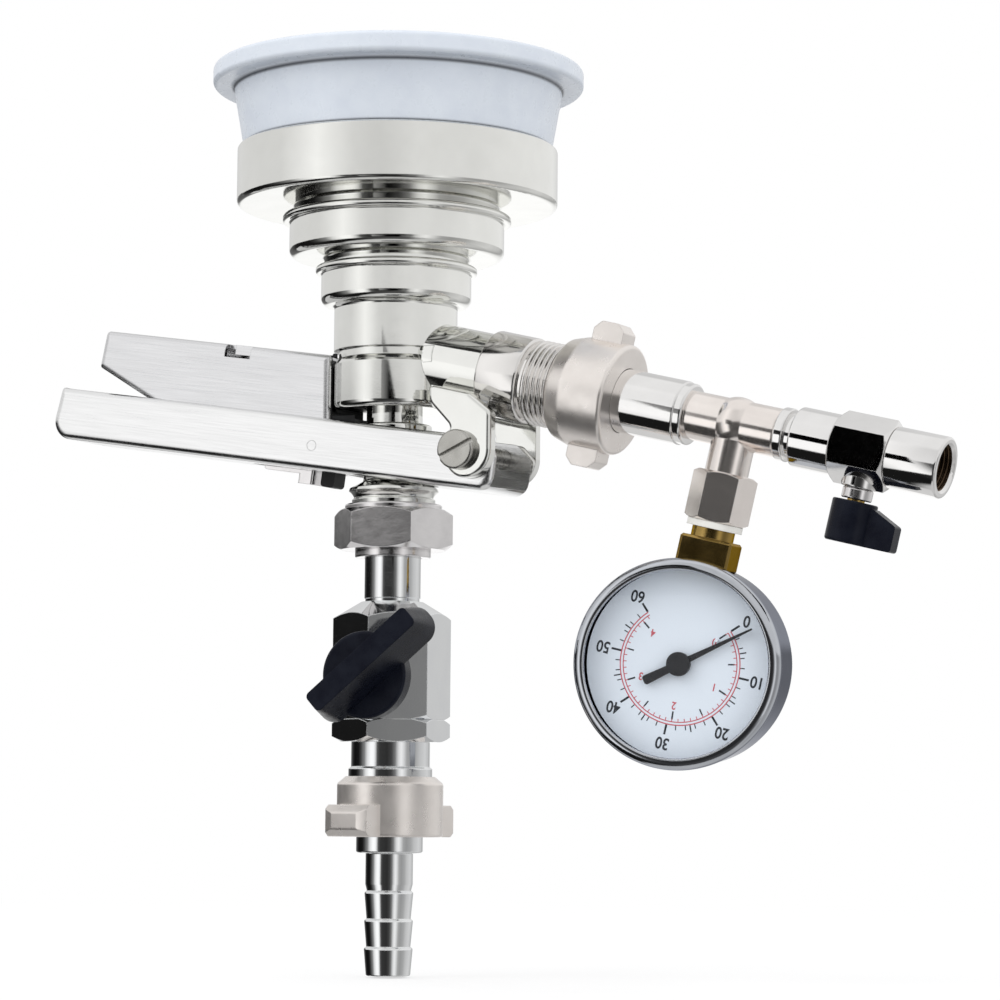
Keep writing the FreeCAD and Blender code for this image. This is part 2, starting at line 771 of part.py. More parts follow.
def make_mini_valve_body():
    """Small valve: spigot, ring, round barrel, faceted block with the stem's neck."""
    block_start = mini_start + mini_barrel_l
    block_end = block_start + mini_block_l
    centre = (block_start + block_end) / 2
    barrel = turned([
        (0, tee_end - 6.5, 0), (mini_spigot_r(), tee_end - 6.5, 0.3), (mini_spigot_r(), tee_end + 0.02, 0),
        (mini_ring_r, tee_end + 0.02, 0.5), (mini_ring_r, tee_end + mini_ring_l, 0.5),
        (mini_spigot_r() + 1.2, tee_end + mini_ring_l, 0), (mini_spigot_r() + 1.2, mini_start, 0),
        (mini_barrel_r, mini_start, 0.7), (mini_barrel_r, block_start, 0.5), (0, block_start, 0)])
    block = hexagon(mini_block_af, block_start - 0.5, block_end, 0)
    neck = turned([(0, 0, 0), (mini_gland_r + 0.8, 0, 0), (mini_gland_r + 0.8, mini_neck_end(), 0.5),
                   (0, mini_neck_end(), 0)])
    solid = on_branch(barrel.fuse(block)).fuse(under_branch(neck, centre))
    cavity = on_branch(Part.makeSphere(mini_ball_r + 0.3, V(0, 0, centre)))
    end_socket = on_branch(rod(mini_ball_r + 1.0, centre, block_end + 1))
    bore = on_branch(rod(mini_port_r, tee_end - 8, centre))
    seat = on_branch(rod(mini_ball_r - 0.6, centre - mini_ball_r - 0.4, centre))
    shaft = under_branch(rod(mini_stem_r + running_gap, -mini_block_af, 0), centre)
    return solid.cut([cavity, end_socket, bore, seat, shaft]).removeSplitter()


def mini_neck_end():
    """Height of the end of the small valve's neck, under the branch axis."""
    return -mini_block_af / math.sqrt(3) - mini_neck_rise


def mini_centre():
    """Length on the branch of the small valve's ball."""
    return mini_start + mini_barrel_l + mini_block_l / 2


def make_mini_valve_end():
    """Screwed end of the small valve, with the open tapped mouth."""
    centre = mini_centre()
    block_end = centre + mini_block_l / 2
    mouth_end = block_end + mini_mouth_l
    inner = centre + mini_ball_r - 1.0
    profile = turned([
        (mini_port_r, inner, 0), (mini_ball_r + 0.9, inner, 0), (mini_ball_r + 0.9, block_end + 0.02, 0),
        (mini_barrel_r, block_end + 0.02, 0.5), (mini_barrel_r, mouth_end, 0.9),
        (mini_mouth_bore_r + 0.9, mouth_end, 0), (mini_mouth_bore_r, mouth_end - 0.9, 0),
        (mini_mouth_bore_r, mouth_end - 11.5, 0), (mini_port_r, mouth_end - 13.5, 0)])
    ball_room = Part.makeSphere(mini_ball_r + 0.12, V(0, 0, centre))
    return on_branch(profile.cut(ball_room))


def make_mini_valve_seat():
    """Plastic seat ring behind the small ball."""
    centre = mini_centre()
    ring = tube(mini_ball_r - 0.7, mini_port_r, centre - mini_ball_r - 0.3, centre - mini_ball_r + 2.0)
    return on_branch(ring.cut(Part.makeSphere(mini_ball_r + 0.03, V(0, 0, centre))))


def bored_ball(radius, port_r, slot_w):
    """Valve ball: through port along Z and the stem's slot across its top, towards -Y."""
    ball = Part.makeSphere(radius)
    port = rod(port_r, -radius - 1, radius + 1)
    slot = Part.makeBox(slot_w, radius, 3 * radius, V(-slot_w / 2, -radius - radius * 0.78, -1.5 * radius))
    return ball.cut([port, slot])


def make_mini_valve_ball():
    """Small ball, open along the branch."""
    ball = bored_ball(mini_ball_r, mini_port_r, 2.0)
    ball.rotate(ORIGIN, X_AXIS, 90)
    ball.rotate(ORIGIN, Z_AXIS, 90)
    return under_branch(ball, mini_centre())


def make_mini_valve_stem():
    """Stem from the small ball's slot to the handle, with the flats that drive both."""
    low = mini_neck_end() - mini_gland_l - mini_hub_h + 3
    shaft = rod(mini_stem_r, low, -mini_ball_r - 0.2)
    key = Part.makeBox(4.4, 1.8, 2.0, V(-2.2, -0.9, -mini_ball_r - 0.6))
    return under_branch(shaft.fuse(key), mini_centre())


def make_mini_gland():
    """Gland nut round the small stem."""
    top = mini_neck_end()
    ring = turned([(mini_stem_r + running_gap, top - mini_gland_l, 0), (mini_gland_r, top - mini_gland_l, 0.5),
                   (mini_gland_r, top, 0.5), (mini_stem_r + running_gap, top, 0)])
    return under_branch(ring, mini_centre())


def rounded_rectangle(x_low, x_high, half_w, radius, z):
    """Closed wire of a rounded rectangle at one height, centred in Y."""
    corners = [(x_low, -half_w, radius), (x_high, -half_w, radius), (x_high, half_w, radius),
               (x_low, half_w, radius)]
    wire = outline(corners)
    wire.rotate(ORIGIN, X_AXIS, 90)
    wire.translate(V(0, 0, z))
    return wire


def make_mini_valve_handle():
    """Black handle of the small valve: round hub with one arm along the branch, open."""
    hub = turned([(0, 0, 0), (mini_hub_r, 0, 0.6), (mini_hub_r, mini_hub_h, 0.8), (0, mini_hub_h, 0)])
    arm = plate([(0, 1.2, 0), (mini_hub_r, 1.2, 0), (mini_arm, mini_arm_slant, 1.0),
                 (mini_arm, mini_hub_h, 1.0), (0, mini_hub_h, 0)], -mini_arm_w / 2, mini_arm_w / 2)
    handle = hub.fuse(arm).cut(rod(mini_stem_r, -1, mini_hub_h - 3.2)).removeSplitter()
    handle.rotate(ORIGIN, X_AXIS, 180)
    handle.translate(V(0, 0, mini_neck_end() - mini_gland_l - mini_hub_gap))
    return under_branch(handle, mini_centre())


def make_gauge_washer():
    """White sealing washer between the tee's socket and the gauge."""
    high = -tee_hex_start - tee_hex_l
    return under_branch(tube(socket_washer_r, socket_stem_r + slip_gap, high - socket_washer_t, high - 0.02), tee_centre)


def make_gauge_socket():
    """Square brass block of the gauge: screwed stem above, foot for the tube inside the case."""
    shank = rod(socket_stem_r, -socket_top, -tee_hex_start - 4)
    collar = rod(socket_stem_r + 1.6, -socket_top, -tee_hex_start - tee_hex_l - socket_washer_t - 0.02)
    wall = -gauge_centre + gauge_case_r - gauge_wall
    half = socket_w / 2
    block = Part.makeBox(socket_w, socket_w, -socket_top - wall, V(-half, -half, wall))
    block = block.makeChamfer(0.7, block.Edges)
    low = -gauge_centre - movement_foot
    depth = socket_foot_back - socket_foot_front
    foot = Part.makeBox(socket_foot_w, depth, wall - low + 1, V(-socket_foot_w / 2, socket_foot_front, low))
    stub_at = dial_point(tube_bend_r, tube_start, bourdon_depth() - gauge_face_offset)
    stub = rod(tube_section_r * 0.7, low - tube_stub_l, low)
    stub.translate(V(-stub_at.x, stub_at.y, 0))
    way = rod(1.6, low + 3, -tee_hex_start)
    solid = shank.fuse([collar, block, foot, stub]).cut(way).removeSplitter()
    solid.rotate(ORIGIN, Z_AXIS, gauge_turn)
    return under_branch(solid, tee_centre)


def make_gauge_case():
    """Deep-drawn case of the gauge, with the opening that the brass block fills."""
    front = gauge_lip_t + window_t + 0.04
    inner = gauge_case_r - gauge_wall
    cup = turned([(0, -gauge_depth, 0), (gauge_case_r, -gauge_depth, 2.5), (gauge_case_r, -front, 0),
                  (inner, -front, 0), (inner, -gauge_depth + gauge_wall, 1.5), (0, -gauge_depth + gauge_wall, 0)])
    cup.rotate(ORIGIN, X_AXIS, 90)
    hole_half = socket_w / 2 + slip_gap
    opening = Part.makeBox(2 * hole_half, 2 * hole_half, gauge_r,
                           V(-hole_half, gauge_face_offset - hole_half, -gauge_r - 5))
    return on_gauge(cup.cut(opening))


def make_gauge_bezel():
    """Polished ring rolled over the window and the front of the case."""
    profile = turned([
        (gauge_case_r + 0.05, -gauge_bezel_h, 0), (gauge_r - 0.2, -gauge_bezel_h, 0.3), (gauge_r, -2.0, 1.0),
        (gauge_r - 1.6, 0, 0.9), (gauge_r - gauge_lip_w - 0.6, -gauge_lip_t * 0.5, 0.3),
        (gauge_r - gauge_lip_w - 0.6, -gauge_lip_t, 0), (gauge_case_r + 0.05, -gauge_lip_t, 0)])
    profile.rotate(ORIGIN, X_AXIS, 90)
    return on_gauge(profile)


def make_gauge_window():
    """Clear window behind the bezel's lip."""
    return on_gauge(disc(gauge_case_r, gauge_lip_t + 0.01, gauge_lip_t + window_t))


def make_gauge_dial():
    """White dial plate with the needle's stop pin."""
    plate_disc = disc(dial_r, dial_depth, dial_depth + dial_t)
    hole = disc(1.4, dial_depth - 1, dial_depth + dial_t + 1)
    pin_at = dial_point(needle_len * 0.55, needle_angle - stop_angle, dial_depth - 1.8)
    pin = Part.makeCylinder(0.5, 2.0, pin_at, Y_AXIS)
    return on_gauge(plate_disc.cut(hole).fuse(pin))


def make_gauge_needle():
    """Needle with its counterweight and hub, at rest on the pin."""
    y_back = dial_depth - 1.2
    half = needle_w / 2
    blade = plate([(-half, -needle_tail, 0.8), (half, -needle_tail, 0.8), (half * 0.7, 0, 0),
                   (0.25, needle_len, 0), (-0.25, needle_len, 0), (-half * 0.7, 0, 0)],
                  y_back - needle_t, y_back)
    hub = disc(needle_hub_r, y_back - needle_t - 0.9, y_back)
    shaft = disc(1.2, y_back - 0.2, dial_depth + 8.0)
    needle = blade.fuse([hub, shaft])
    needle.rotate(ORIGIN, Y_AXIS, needle_angle)
    return on_gauge(needle)


def gear_outline(teeth, span_teeth, hub_r):
    """Straight-flanked teeth on a pitch circle, drawn in the XZ plane, as one closed wire."""
    pitch_r = gear_module * teeth / 2
    tip_r = pitch_r + gear_module * 0.9
    root_r = pitch_r - gear_module * 1.15
    step = 2 * math.pi / teeth
    points = []
    for i in range(span_teeth):
        middle = (i - (span_teeth - 1) / 2) * step
        for share, radius in ((-0.30, root_r), (-0.12, tip_r), (0.12, tip_r), (0.30, root_r)):
            angle = middle + share * step
            points.append(V(radius * math.sin(angle), 0, radius * math.cos(angle)))
    if span_teeth < teeth:
        points.append(V(hub_r, 0, -hub_r))
        points.append(V(-hub_r, 0, -hub_r))
    points.append(points[0])
    return Part.makePolygon(points)


def movement_depth():
    """Depth of the gear pair behind the dial."""
    return dial_depth + 4.0


def make_gauge_pinion():
    """Ten-tooth pinion on the needle's shaft."""
    gear = Part.Face(gear_outline(pinion_teeth, pinion_teeth, 0)).extrude(V(0, gear_t, 0))
    gear.translate(V(0, movement_depth(), 0))
    bore = disc(1.2, movement_depth() - 1, movement_depth() + gear_t + 1)
    return on_gauge(gear.cut(bore))


def sector_pivot():
    """Pivot of the toothed sector, above the needle's shaft."""
    return V(0, 0, pinion_r + sector_r + 0.06)


def make_gauge_sector():
    """Toothed sector that the curved tube pulls round, meshing with the pinion."""
    gear = Part.Face(gear_outline(sector_teeth, sector_count, 2.6)).extrude(V(0, gear_t - 0.4, 0))
    gear = gear.fuse(disc(3.0, 0, gear_t - 0.4)).cut(disc(1.0 + running_gap, -1, gear_t + 1))
    gear.rotate(ORIGIN, Y_AXIS, 180 + sector_shift * 360 / sector_teeth)
    gear.translate(sector_pivot() + V(0, movement_depth() + 0.2, 0))
    return on_gauge(gear)


def make_gauge_movement():
    """Two brass plates with the sector's pin, carried on the block."""
    front = movement_depth() - 1.6
    back = movement_depth() + gear_t + 0.6
    low = movement_foot + 0.05
    top = sector_pivot().z + movement_head_rise
    foot_half = movement_foot_w / 2
    head_half = movement_head_w / 2
    corners = [(-foot_half, low, 1.5), (foot_half, low, 1.5), (head_half, top, 3), (-head_half, top, 3)]
    plates = plate(corners, front, front + 1.0).fuse(plate(corners, back, back + 1.0))
    pin = Part.makeCylinder(1.0, back - front, sector_pivot() + V(0, front, 0), Y_AXIS)
    shaft_hole = disc(1.2 + running_gap, front - 1, back + 2)
    foot = Part.makeBox(8, back + 1 - front, 3.0, V(-4, front, low))
    return on_gauge(plates.fuse([pin, foot]).cut(shaft_hole))


def bourdon_depth():
    """Depth of the curved tube's middle behind the front of the bezel."""
    return movement_depth() + gear_t + 1.6 + tube_section_r + 0.2


def make_bourdon_tube():
    """Curved pressure tube round the inside of the case, from the block to its free tip."""
    depth = bourdon_depth()
    first = dial_point(tube_bend_r, tube_start, depth)
    middle = dial_point(tube_bend_r, tube_start + tube_sweep / 2, depth)
    last = dial_point(tube_bend_r, tube_start + tube_sweep, depth)
    path = Part.Wire(Part.Arc(first, middle, last).toShape())
    start = math.radians(tube_start)
    tangent = V(math.cos(start), 0, -math.sin(start))
    section = Part.Wire(Part.makeCircle(tube_section_r, first, tangent))
    return on_gauge(path.makePipeShell([section], True, True))


def make_probe():
    """Hollow stem that opens the keg's valve: nose flange above, screwed into the carrier."""
    seal_low = probe_top - probe_seal_t
    flange_low = probe_top - probe_nose_h
    return turned([
        (probe_bore_r, probe_tail, 0), (probe_r, probe_tail, 0.5), (probe_r, flange_low, 0),
        (probe_nose_r, flange_low, 0.8), (probe_nose_r, seal_low, 0.5), (probe_r - 0.3, seal_low, 0),
        (probe_r - 0.3, probe_top, 0.8), (probe_bore_r, probe_top, 0.5)])


def make_probe_seal():
    """Rubber ring on the probe's nose."""
    return turned([
        (probe_r - 0.3, probe_top - probe_seal_t, 0), (probe_nose_r, probe_top - probe_seal_t, 0),
        (probe_nose_r - 1.2, probe_top - 0.8, 1.0), (probe_r - 0.3, probe_top - 0.8, 0)])


def make_probe_carrier():
    """Spool that the lever's rollers drive, flared below the lever, screwed for the union nut."""
    flange_low = spool_top - spool_flange_t
    second_top = roller_z - roller_r - 0.25
    second_low = second_top - spool_flange_t + 0.6
    low = carrier_neck_end - carrier_thread_l
    body = turned([
        (probe_bore_r, low, 0), (carrier_thread_r, low, 0.8), (carrier_thread_r, carrier_neck_end + 1.2, 0.4),
        (carrier_neck_r, carrier_neck_end + 1.6, 0.4), (carrier_neck_r, carrier_neck_end + 2.2, 3.0),
        (flare_r - 0.3, flare_top - 1.0, 0.3), (flare_r - 0.6, flare_top, 0.4),
        (spool_neck_r, flare_top + 2.2, 1.0), (spool_neck_r, second_low, 0.4),
        (spool_flange_r, second_low, 0.6), (spool_flange_r, second_top, 0.4),
        (spool_neck_r, second_top, 0.3), (spool_neck_r, flange_low, 0.3), (spool_flange_r, flange_low, 0.4),
        (spool_flange_r, spool_top, 0.8), (probe_r, spool_top, 0), (probe_r, probe_tail, 0),
        (probe_bore_r, probe_tail, 0)])
    return body


def make_outlet_washer():
    """Flat washer between the carrier and the nipple."""
    high = carrier_neck_end - carrier_thread_l
    return tube(nipple_flange_r, probe_bore_r, high - washer_t, high)


def make_union_nut():
    """Hexagon union nut with its short round skirt, captive on the nipple."""
    low = hex_top - hex_h
    hex_high = hex_top - nut_collar_h
    bar = hexagon(hex_af, low, hex_high, hex_turn)
    collar = turned([(0, hex_high - 1, 0), (nut_collar_r, hex_high - 1, 0), (nut_collar_r, hex_top, 0.6), (0, hex_top, 0)])
    skirt = turned([(0, low - nut_skirt_h, 0), (nut_skirt_r, low - nut_skirt_h, 0.5), (nut_skirt_r, low + 0.5, 0),
                    (0, low + 0.5, 0)])
    cavity_low = nipple_top - nipple_flange_t - air_gap
    cavity = rod(carrier_thread_r + slip_gap, cavity_low, hex_top + 1)
    mouth = rod(nipple_r + slip_gap, low - nut_skirt_h - 1, hex_top)
    return bar.fuse([collar, skirt]).cut([cavity, mouth]).removeSplitter()


def make_outlet_nipple():
    """Flanged tube from the union nut down into the ball valve."""
    flange_low = nipple_top - nipple_flange_t
    foot_top = valve_top + nipple_foot_h
    return turned([
        (probe_bore_r, valve_top - 6, 0), (nipple_foot_r - 0.6, valve_top - 6, 0.4),
        (nipple_foot_r - 0.6, valve_top, 0), (nipple_foot_r, valve_top, 0), (nipple_foot_r, foot_top, 0),
        (nipple_r, foot_top, 0.3), (nipple_r, flange_low, 0.6), (nipple_flange_r, flange_low, 0.4),
        (nipple_flange_r, nipple_top, 0.4), (probe_bore_r, nipple_top, 0)])


def make_valve_body():
    """Hexagonal ball valve body with the round stem boss in front."""
    split = valve_low + valve_split
    outside = hexagon(valve_af, split - 0.5, valve_top, valve_turn).common(valve_crown(split - 1))
    front = boss_front()
    boss = at_valve_stem(turned([(0, 6, 0), (gland_r + 1.6, 6, 0), (gland_r + 1.6, front, 0.6), (0, front, 0)]))
    solid = outside.fuse(boss).cut(rod(valve_af, split - 2, split))
    socket = rod(valve_seat_r + 1.6, split - 1, valve_centre)
    room = Part.makeSphere(valve_ball_r + 0.3, V(0, 0, valve_centre))
    seat_room = rod(valve_seat_r + 0.1, valve_centre, valve_centre + valve_ball_r + 0.2)
    top_bore = rod(nipple_foot_r - 0.6, valve_top - 6.1, valve_top + 1)
    way = rod(valve_port_r, valve_centre, valve_top)
    shaft = at_valve_stem(rod(valve_stem_r + running_gap, 0, valve_af))
    return solid.cut([socket, room, seat_room, top_bore, way, shaft]).removeSplitter()


def valve_crown(low):
    """Turned envelope of the valve's hexagon: round bar with a cone up to the nipple."""
    over = valve_af / math.sqrt(3) + 0.1
    return turned([(0, low, 0), (over, low, 0), (over, valve_top - valve_crown_h, 0),
                   (valve_crown_r, valve_top, 0), (0, valve_top, 0)])


def make_valve_end():
    """Foot of the hexagon with the male outlet, screwed into the valve body."""
    split = valve_low + valve_split
    foot = hexagon(valve_af, valve_low, split + 0.5, valve_turn).cut(rod(valve_af, split - 0.02, split + 1))
    inner_top = valve_centre - valve_ball_r + 2.4
    spigot = rod(valve_seat_r + 1.5, split - 1, inner_top)
    tail = turned([
        (0, outlet_low, 0), (outlet_thread_r, outlet_low, 0.8), (outlet_thread_r, neck_low, 0.4),
        (outlet_neck_r, neck_low + 0.6, 0), (outlet_neck_r, valve_low + 0.5, 0), (0, valve_low + 0.5, 0)])
    solid = foot.fuse([spigot, tail])
    way = rod(valve_port_r, outlet_low - 1, inner_top + 1)
    seat_room = rod(valve_seat_r + 0.1, valve_centre - valve_ball_r - 0.2, inner_top + 1)
    room = Part.makeSphere(valve_ball_r + 0.3, V(0, 0, valve_centre))
    return solid.cut([way, seat_room, room]).removeSplitter()


def make_valve_seats():
    """Two plastic seat rings, above and below the ball, one group."""
    ball = Part.makeSphere(valve_ball_r + 0.03, V(0, 0, valve_centre))
    high = tube(valve_seat_r, valve_port_r, valve_centre + valve_ball_r - valve_seat_t * 1.6,
                valve_centre + valve_ball_r + 0.1).cut(ball)
    low = tube(valve_seat_r, valve_port_r, valve_centre - valve_ball_r - 0.1,
               valve_centre - valve_ball_r + valve_seat_t * 1.6).cut(ball)
    return Part.makeCompound([high, low])


def at_valve_stem(shape):
    """Point a piece built along +Z out of the main valve's front, along its stem."""
    placed = along_y(shape)
    placed.rotate(ORIGIN, Z_AXIS, stem_turn)
    placed.translate(V(0, 0, valve_centre))
    return placed


def at_valve_handle(shape):
    """The same, turned with the handle about the stem."""
    turned_piece = shape.copy()
    turned_piece.rotate(ORIGIN, Z_AXIS, handle_angle)
    return at_valve_stem(turned_piece)


def boss_front():
    """Distance from the axis to the front of the stem's boss."""
    return valve_af / math.sqrt(3) + valve_boss_proud


def make_valve_ball():
    """Ball of the main valve, turned with its handle."""
    ball = bored_ball(valve_ball_r, valve_port_r, 3.2)
    ball.rotate(ORIGIN, Y_AXIS, 90 - handle_angle)
    ball.rotate(ORIGIN, Z_AXIS, stem_turn)
    ball.translate(V(0, 0, valve_centre))
    return ball


def make_valve_stem():
    """Stem from the ball's slot to the screw end in the handle."""
    front = boss_front() + handle_hub_h + 2.4
    shaft = rod(valve_stem_r, valve_ball_r + 0.3, front)
    key = Part.makeBox(valve_stem_r * 1.7, 2.9, 3.2, V(-valve_stem_r * 0.85, -1.45, valve_ball_r - 1.6))
    return at_valve_handle(shaft.fuse(key))


def make_gland_nut():
    """Gland ring screwed over the packing round the main stem, under the handle's skirt."""
    start = boss_front()
    ring = turned([(valve_stem_r + running_gap, start + 0.02, 0), (gland_r, start + 0.02, 0.5),
                   (gland_r, start + gland_l, 0.5), (valve_stem_r + running_gap, start + gland_l, 0)])
    return at_valve_stem(ring)


def make_valve_handle():
    """Black handle of the main valve: hollow round hub and a tapered wing, found half open."""
    hub = turned([(0, 0, 0), (handle_hub_r, 0, 0.6), (handle_hub_r, handle_hub_h, 1.0), (0, handle_hub_h, 0)])
    foot = rounded_rectangle(-handle_tail, handle_arm, handle_foot_w / 2, 5.4, handle_hub_h - 1.0)
    ridge = rounded_rectangle(-handle_tail + handle_ridge_in, handle_arm - 1.2, handle_ridge_w / 2, 1.6,
                              handle_hub_h + handle_wing_h)
    wing = Part.makeLoft([foot, ridge], True, True)
    hollow = rod(handle_skirt_r, -1, handle_skirt_h)
    stem_hole = rod(valve_stem_r, 0, handle_hub_h + 2.5)
    handle = hub.fuse(wing).cut([hollow, stem_hole]).removeSplitter()
    handle.translate(V(0, 0, boss_front() + mini_hub_gap))
    return at_valve_handle(handle)


def make_hose_wing_nut():
    """Hand nut of the hose tail, with two square ears at its foot."""
    low = hose_nut_top - hose_nut_h
    outside = turned([(0, low, 0), (hose_nut_r, low, 0.8), (hose_nut_r, hose_nut_top - 2.2, 1.2),
                      (outlet_thread_r + 0.8, hose_nut_top, 0.4), (0, hose_nut_top, 0)])
    ears = lug_pair(hose_lug_reach, hose_lug_w, hose_lug_h, low)
    ears.rotate(ORIGIN, Z_AXIS, hose_lug_turn)
    cavity = rod(outlet_thread_r + slip_gap, low + hose_nut_lip_t, hose_nut_top + 1)
    mouth = rod(hose_collar_r + slip_gap, low - 1, hose_nut_top)
    return outside.fuse(ears).cut([cavity, mouth]).removeSplitter()


def make_hose_washer():
    """Flat washer between the valve's outlet and the hose tail."""
    return tube(outlet_thread_r - 0.4, barb_bore_r, outlet_low - washer_t, outlet_low - 0.02)


def make_hose_barb():
    """Hose tail: flange held by the hand nut, collar, and three barbs."""
    top = outlet_low - washer_t - 0.02
    flange_low = hose_nut_top - hose_nut_h + hose_nut_lip_t + air_gap
    collar_end = hose_nut_top - hose_nut_h - hose_collar_h
    profile = [(barb_bore_r, barb_end, 0.4), (barb_root_r, barb_end, 0.6)]
    for i in range(barb_count):
        crest = barb_end + barb_pitch * (i + 1)
        profile.append((barb_tip_r, crest - 0.5, 0.2))
        profile.append((barb_tip_r - 0.1, crest, 0.1))
        profile.append((barb_root_r, crest + 0.4, 0.2))
    profile += [
        (barb_plain_r, barb_end + barb_pitch * barb_count + 2.4, 0.6), (barb_plain_r, collar_end, 0.4),
        (hose_collar_r, collar_end, 0.8), (hose_collar_r, flange_low, 0),
        (outlet_thread_r - 0.3, flange_low, 0.3), (outlet_thread_r - 0.3, top, 0.3), (barb_bore_r, top, 0)]
    return turned(profile)


def lever_side_outline():
    """Side view of the hand lever in its own frame: pivot at the origin, hand end at -X."""
    low = -lever_below
    high = low + lever_h
    return [
        (lever_left + 2.0, high, 0.8), (lever_left, low, lever_end_r), (lever_right, low, lever_heel_r),
        (lever_right, low + lever_heel_h, 3.0), (lever_brow_x, high, 3.0)]


def make_main_lever():
    """Hand lever: pressed channel with a closed, rounded hand end and a heel past the pivot."""
    half = lever_w / 2
    low = -lever_below
    blank = plate(lever_side_outline(), -half, half)
    bends = [e for e in blank.Edges if lever_bottom_edge(e, low, half)]
    blank = blank.makeFillet(lever_bend_r, bends)
    room_round = lever_end_r - lever_t
    room = plate([(lever_left + 2.0 + lever_t * 1.1, lever_h, 0), (lever_left + lever_t, low + lever_t, room_round),
                  (lever_right + 5, low + lever_t, 0), (lever_right + 5, lever_h, 0)],
                 -half + lever_t, half - lever_t)
    inner_bends = [e for e in room.Edges if lever_bottom_edge(e, low + lever_t, half - lever_t)]
    room = room.makeFillet(lever_bend_r - lever_t, inner_bends)
    shell = blank.cut(room)
    tilt = math.radians(lever_tilt)
    hole_x = -pivot_x * math.cos(tilt) + lever_below * math.sin(tilt) * math.cos(tilt)
    probe_hole = slot_hole(hole_x - web_hole_left, hole_x + web_hole_right, 2 * (spool_neck_r + 0.9),
                           web_hole_round)
    pawl_hole = slot_hole(latch_slot_x0, latch_slot_x1, latch_slot_w, latch_slot_round)
    view_hole = slot_hole(view_slot_x0, view_slot_x1, view_slot_w, view_slot_round)
    pin_hole = Part.makeCylinder(pivot_pin_r + running_gap, 3 * half, V(0, -1.5 * half, 0), Y_AXIS)
    latch_hole = Part.makeCylinder(latch_pin_r, 3 * half, V(latch_pin_x, -1.5 * half, low + latch_pin_up), Y_AXIS)
    anchor_hole = Part.makeCylinder(anchor_pin_r, 3 * lever_t, V(anchor_middle(), 0, low - lever_t))
    lever = on_lever(shell.cut([probe_hole, pawl_hole, view_hole, pin_hole, latch_hole, anchor_hole]))
    return lever.cut(roller_pins())


def lever_bottom_edge(edge, low, half):
    """Is this one of the long straight edges where the lever's web meets its sides?"""
    box = edge.BoundBox
    along = box.XLength > lever_w
    at_low = abs(box.ZMin - low) < 1e-3 and box.ZLength < 1e-3
    at_side = abs(abs(box.YMin) - half) < 1e-3 and box.YLength < 1e-3
    return along and at_low and at_side


def slot_hole(x_low, x_high, width, corner):
    """Cutter for a long hole through the lever's web, with rounded corners in plan."""
    wire = rounded_rectangle(x_low, x_high, width / 2, corner, -lever_below - lever_t)
    return Part.Face(wire).extrude(V(0, 0, 3 * lever_t))


def roller_pins():
    """The rollers' pins, set into the inner faces of the lever's sides."""
    reach = lever_inner + roller_pin_l
    return Part.makeCylinder(roller_pin_r, 2 * reach, V(0, -reach, roller_z), Y_AXIS)


def make_drive_rollers():
    """Two rollers pinned inside the lever's sides, riding in the carrier's groove, one group."""
    gap = Part.makeBox(4 * roller_r, 2 * (lever_inner - roller_reach), 4 * roller_r,
                       V(-2 * roller_r, roller_reach - lever_inner, roller_z - 2 * roller_r))
    across = Part.makeCylinder(roller_r, 2 * lever_inner, V(0, -lever_inner, roller_z), Y_AXIS)
    return across.fuse(roller_pins()).cut(gap)


def anchor_middle():
    """Place of the anchor's pin along the lever."""
    return (anchor_x0 + anchor_x1) / 2


def make_latch_anchor():
    """Small block riveted under the web, with a leaf towards the hand."""
    low = -lever_below
    block = Part.makeBox(anchor_x1 - anchor_x0, anchor_w, anchor_drop,
                         V(anchor_x0, -anchor_w / 2, low - anchor_drop))
    block = block.makeFillet(0.8, [e for e in block.Edges if e.BoundBox.ZLength > anchor_drop * 0.9])
    tongue = plate([(anchor_x0 - anchor_tongue_l, low, 0), (anchor_x0 - anchor_tongue_l, low - anchor_tongue_t, 0.9),
                    (anchor_x0 + 1, low - anchor_tongue_t, 0), (anchor_x0 + 1, low, 0)], -anchor_w / 2, anchor_w / 2)
    pin = Part.makeCylinder(anchor_pin_r, lever_t, V(anchor_middle(), 0, low))
    return on_lever(block.fuse([tongue, pin]))


def make_pivot_screw():
    """Slotted pivot screw through both ears and the lever."""
    y_ear = lever_w / 2 + ear_gap + ear_t
    head = turned([(0, y_ear + 0.02, 0), (screw_head_r, y_ear + 0.02, 0), (screw_head_r, y_ear + screw_head_t, 0.9),
                   (0, y_ear + screw_head_t, 0)])
    slot = Part.makeBox(3 * screw_head_r, screw_slot_w, screw_slot_d + 1,
                        V(-1.5 * screw_head_r, -screw_slot_w / 2, y_ear + screw_head_t - screw_slot_d))
    slot.rotate(ORIGIN, Z_AXIS, screw_slot_turn)
    shank = rod(pivot_pin_r, -y_ear - pivot_nut_t - 1.0, y_ear + 0.5)
    screw = along_y(head.cut(slot).fuse(shank))
    screw.translate(V(pivot_x, 0, pivot_z))
    return screw


def make_pivot_nut():
    """Nut on the far end of the pivot screw."""
    y_ear = lever_w / 2 + ear_gap + ear_t
    nut = hexagon(pivot_nut_af, -y_ear - pivot_nut_t, -y_ear - 0.02, 12).cut(rod(pivot_pin_r, -60, 0))
    placed = along_y(nut)
    placed.translate(V(pivot_x, 0, pivot_z))
    return placed


def squeeze_outline():
    """Side view of the squeeze lever in the hand lever's frame."""
    low = -lever_below + squeeze_low
    high = -lever_below + squeeze_top
    return [
        (squeeze_left, high, 1.2), (squeeze_left - 0.8, high - squeeze_nose_h, 0.8),
        (squeeze_left + squeeze_nose_l, low + 1.5, 3.0), (squeeze_left + squeeze_nose_l + 10, low, 2.0),
        (latch_pin_x - 9, low, 1.0), (latch_pin_x - 5, -lever_below + latch_pin_up - latch_pin_boss, 2.0),
        (squeeze_right + squeeze_rake, -lever_below + latch_pin_up - latch_pin_boss, 0.5), (squeeze_right, high, 0)]


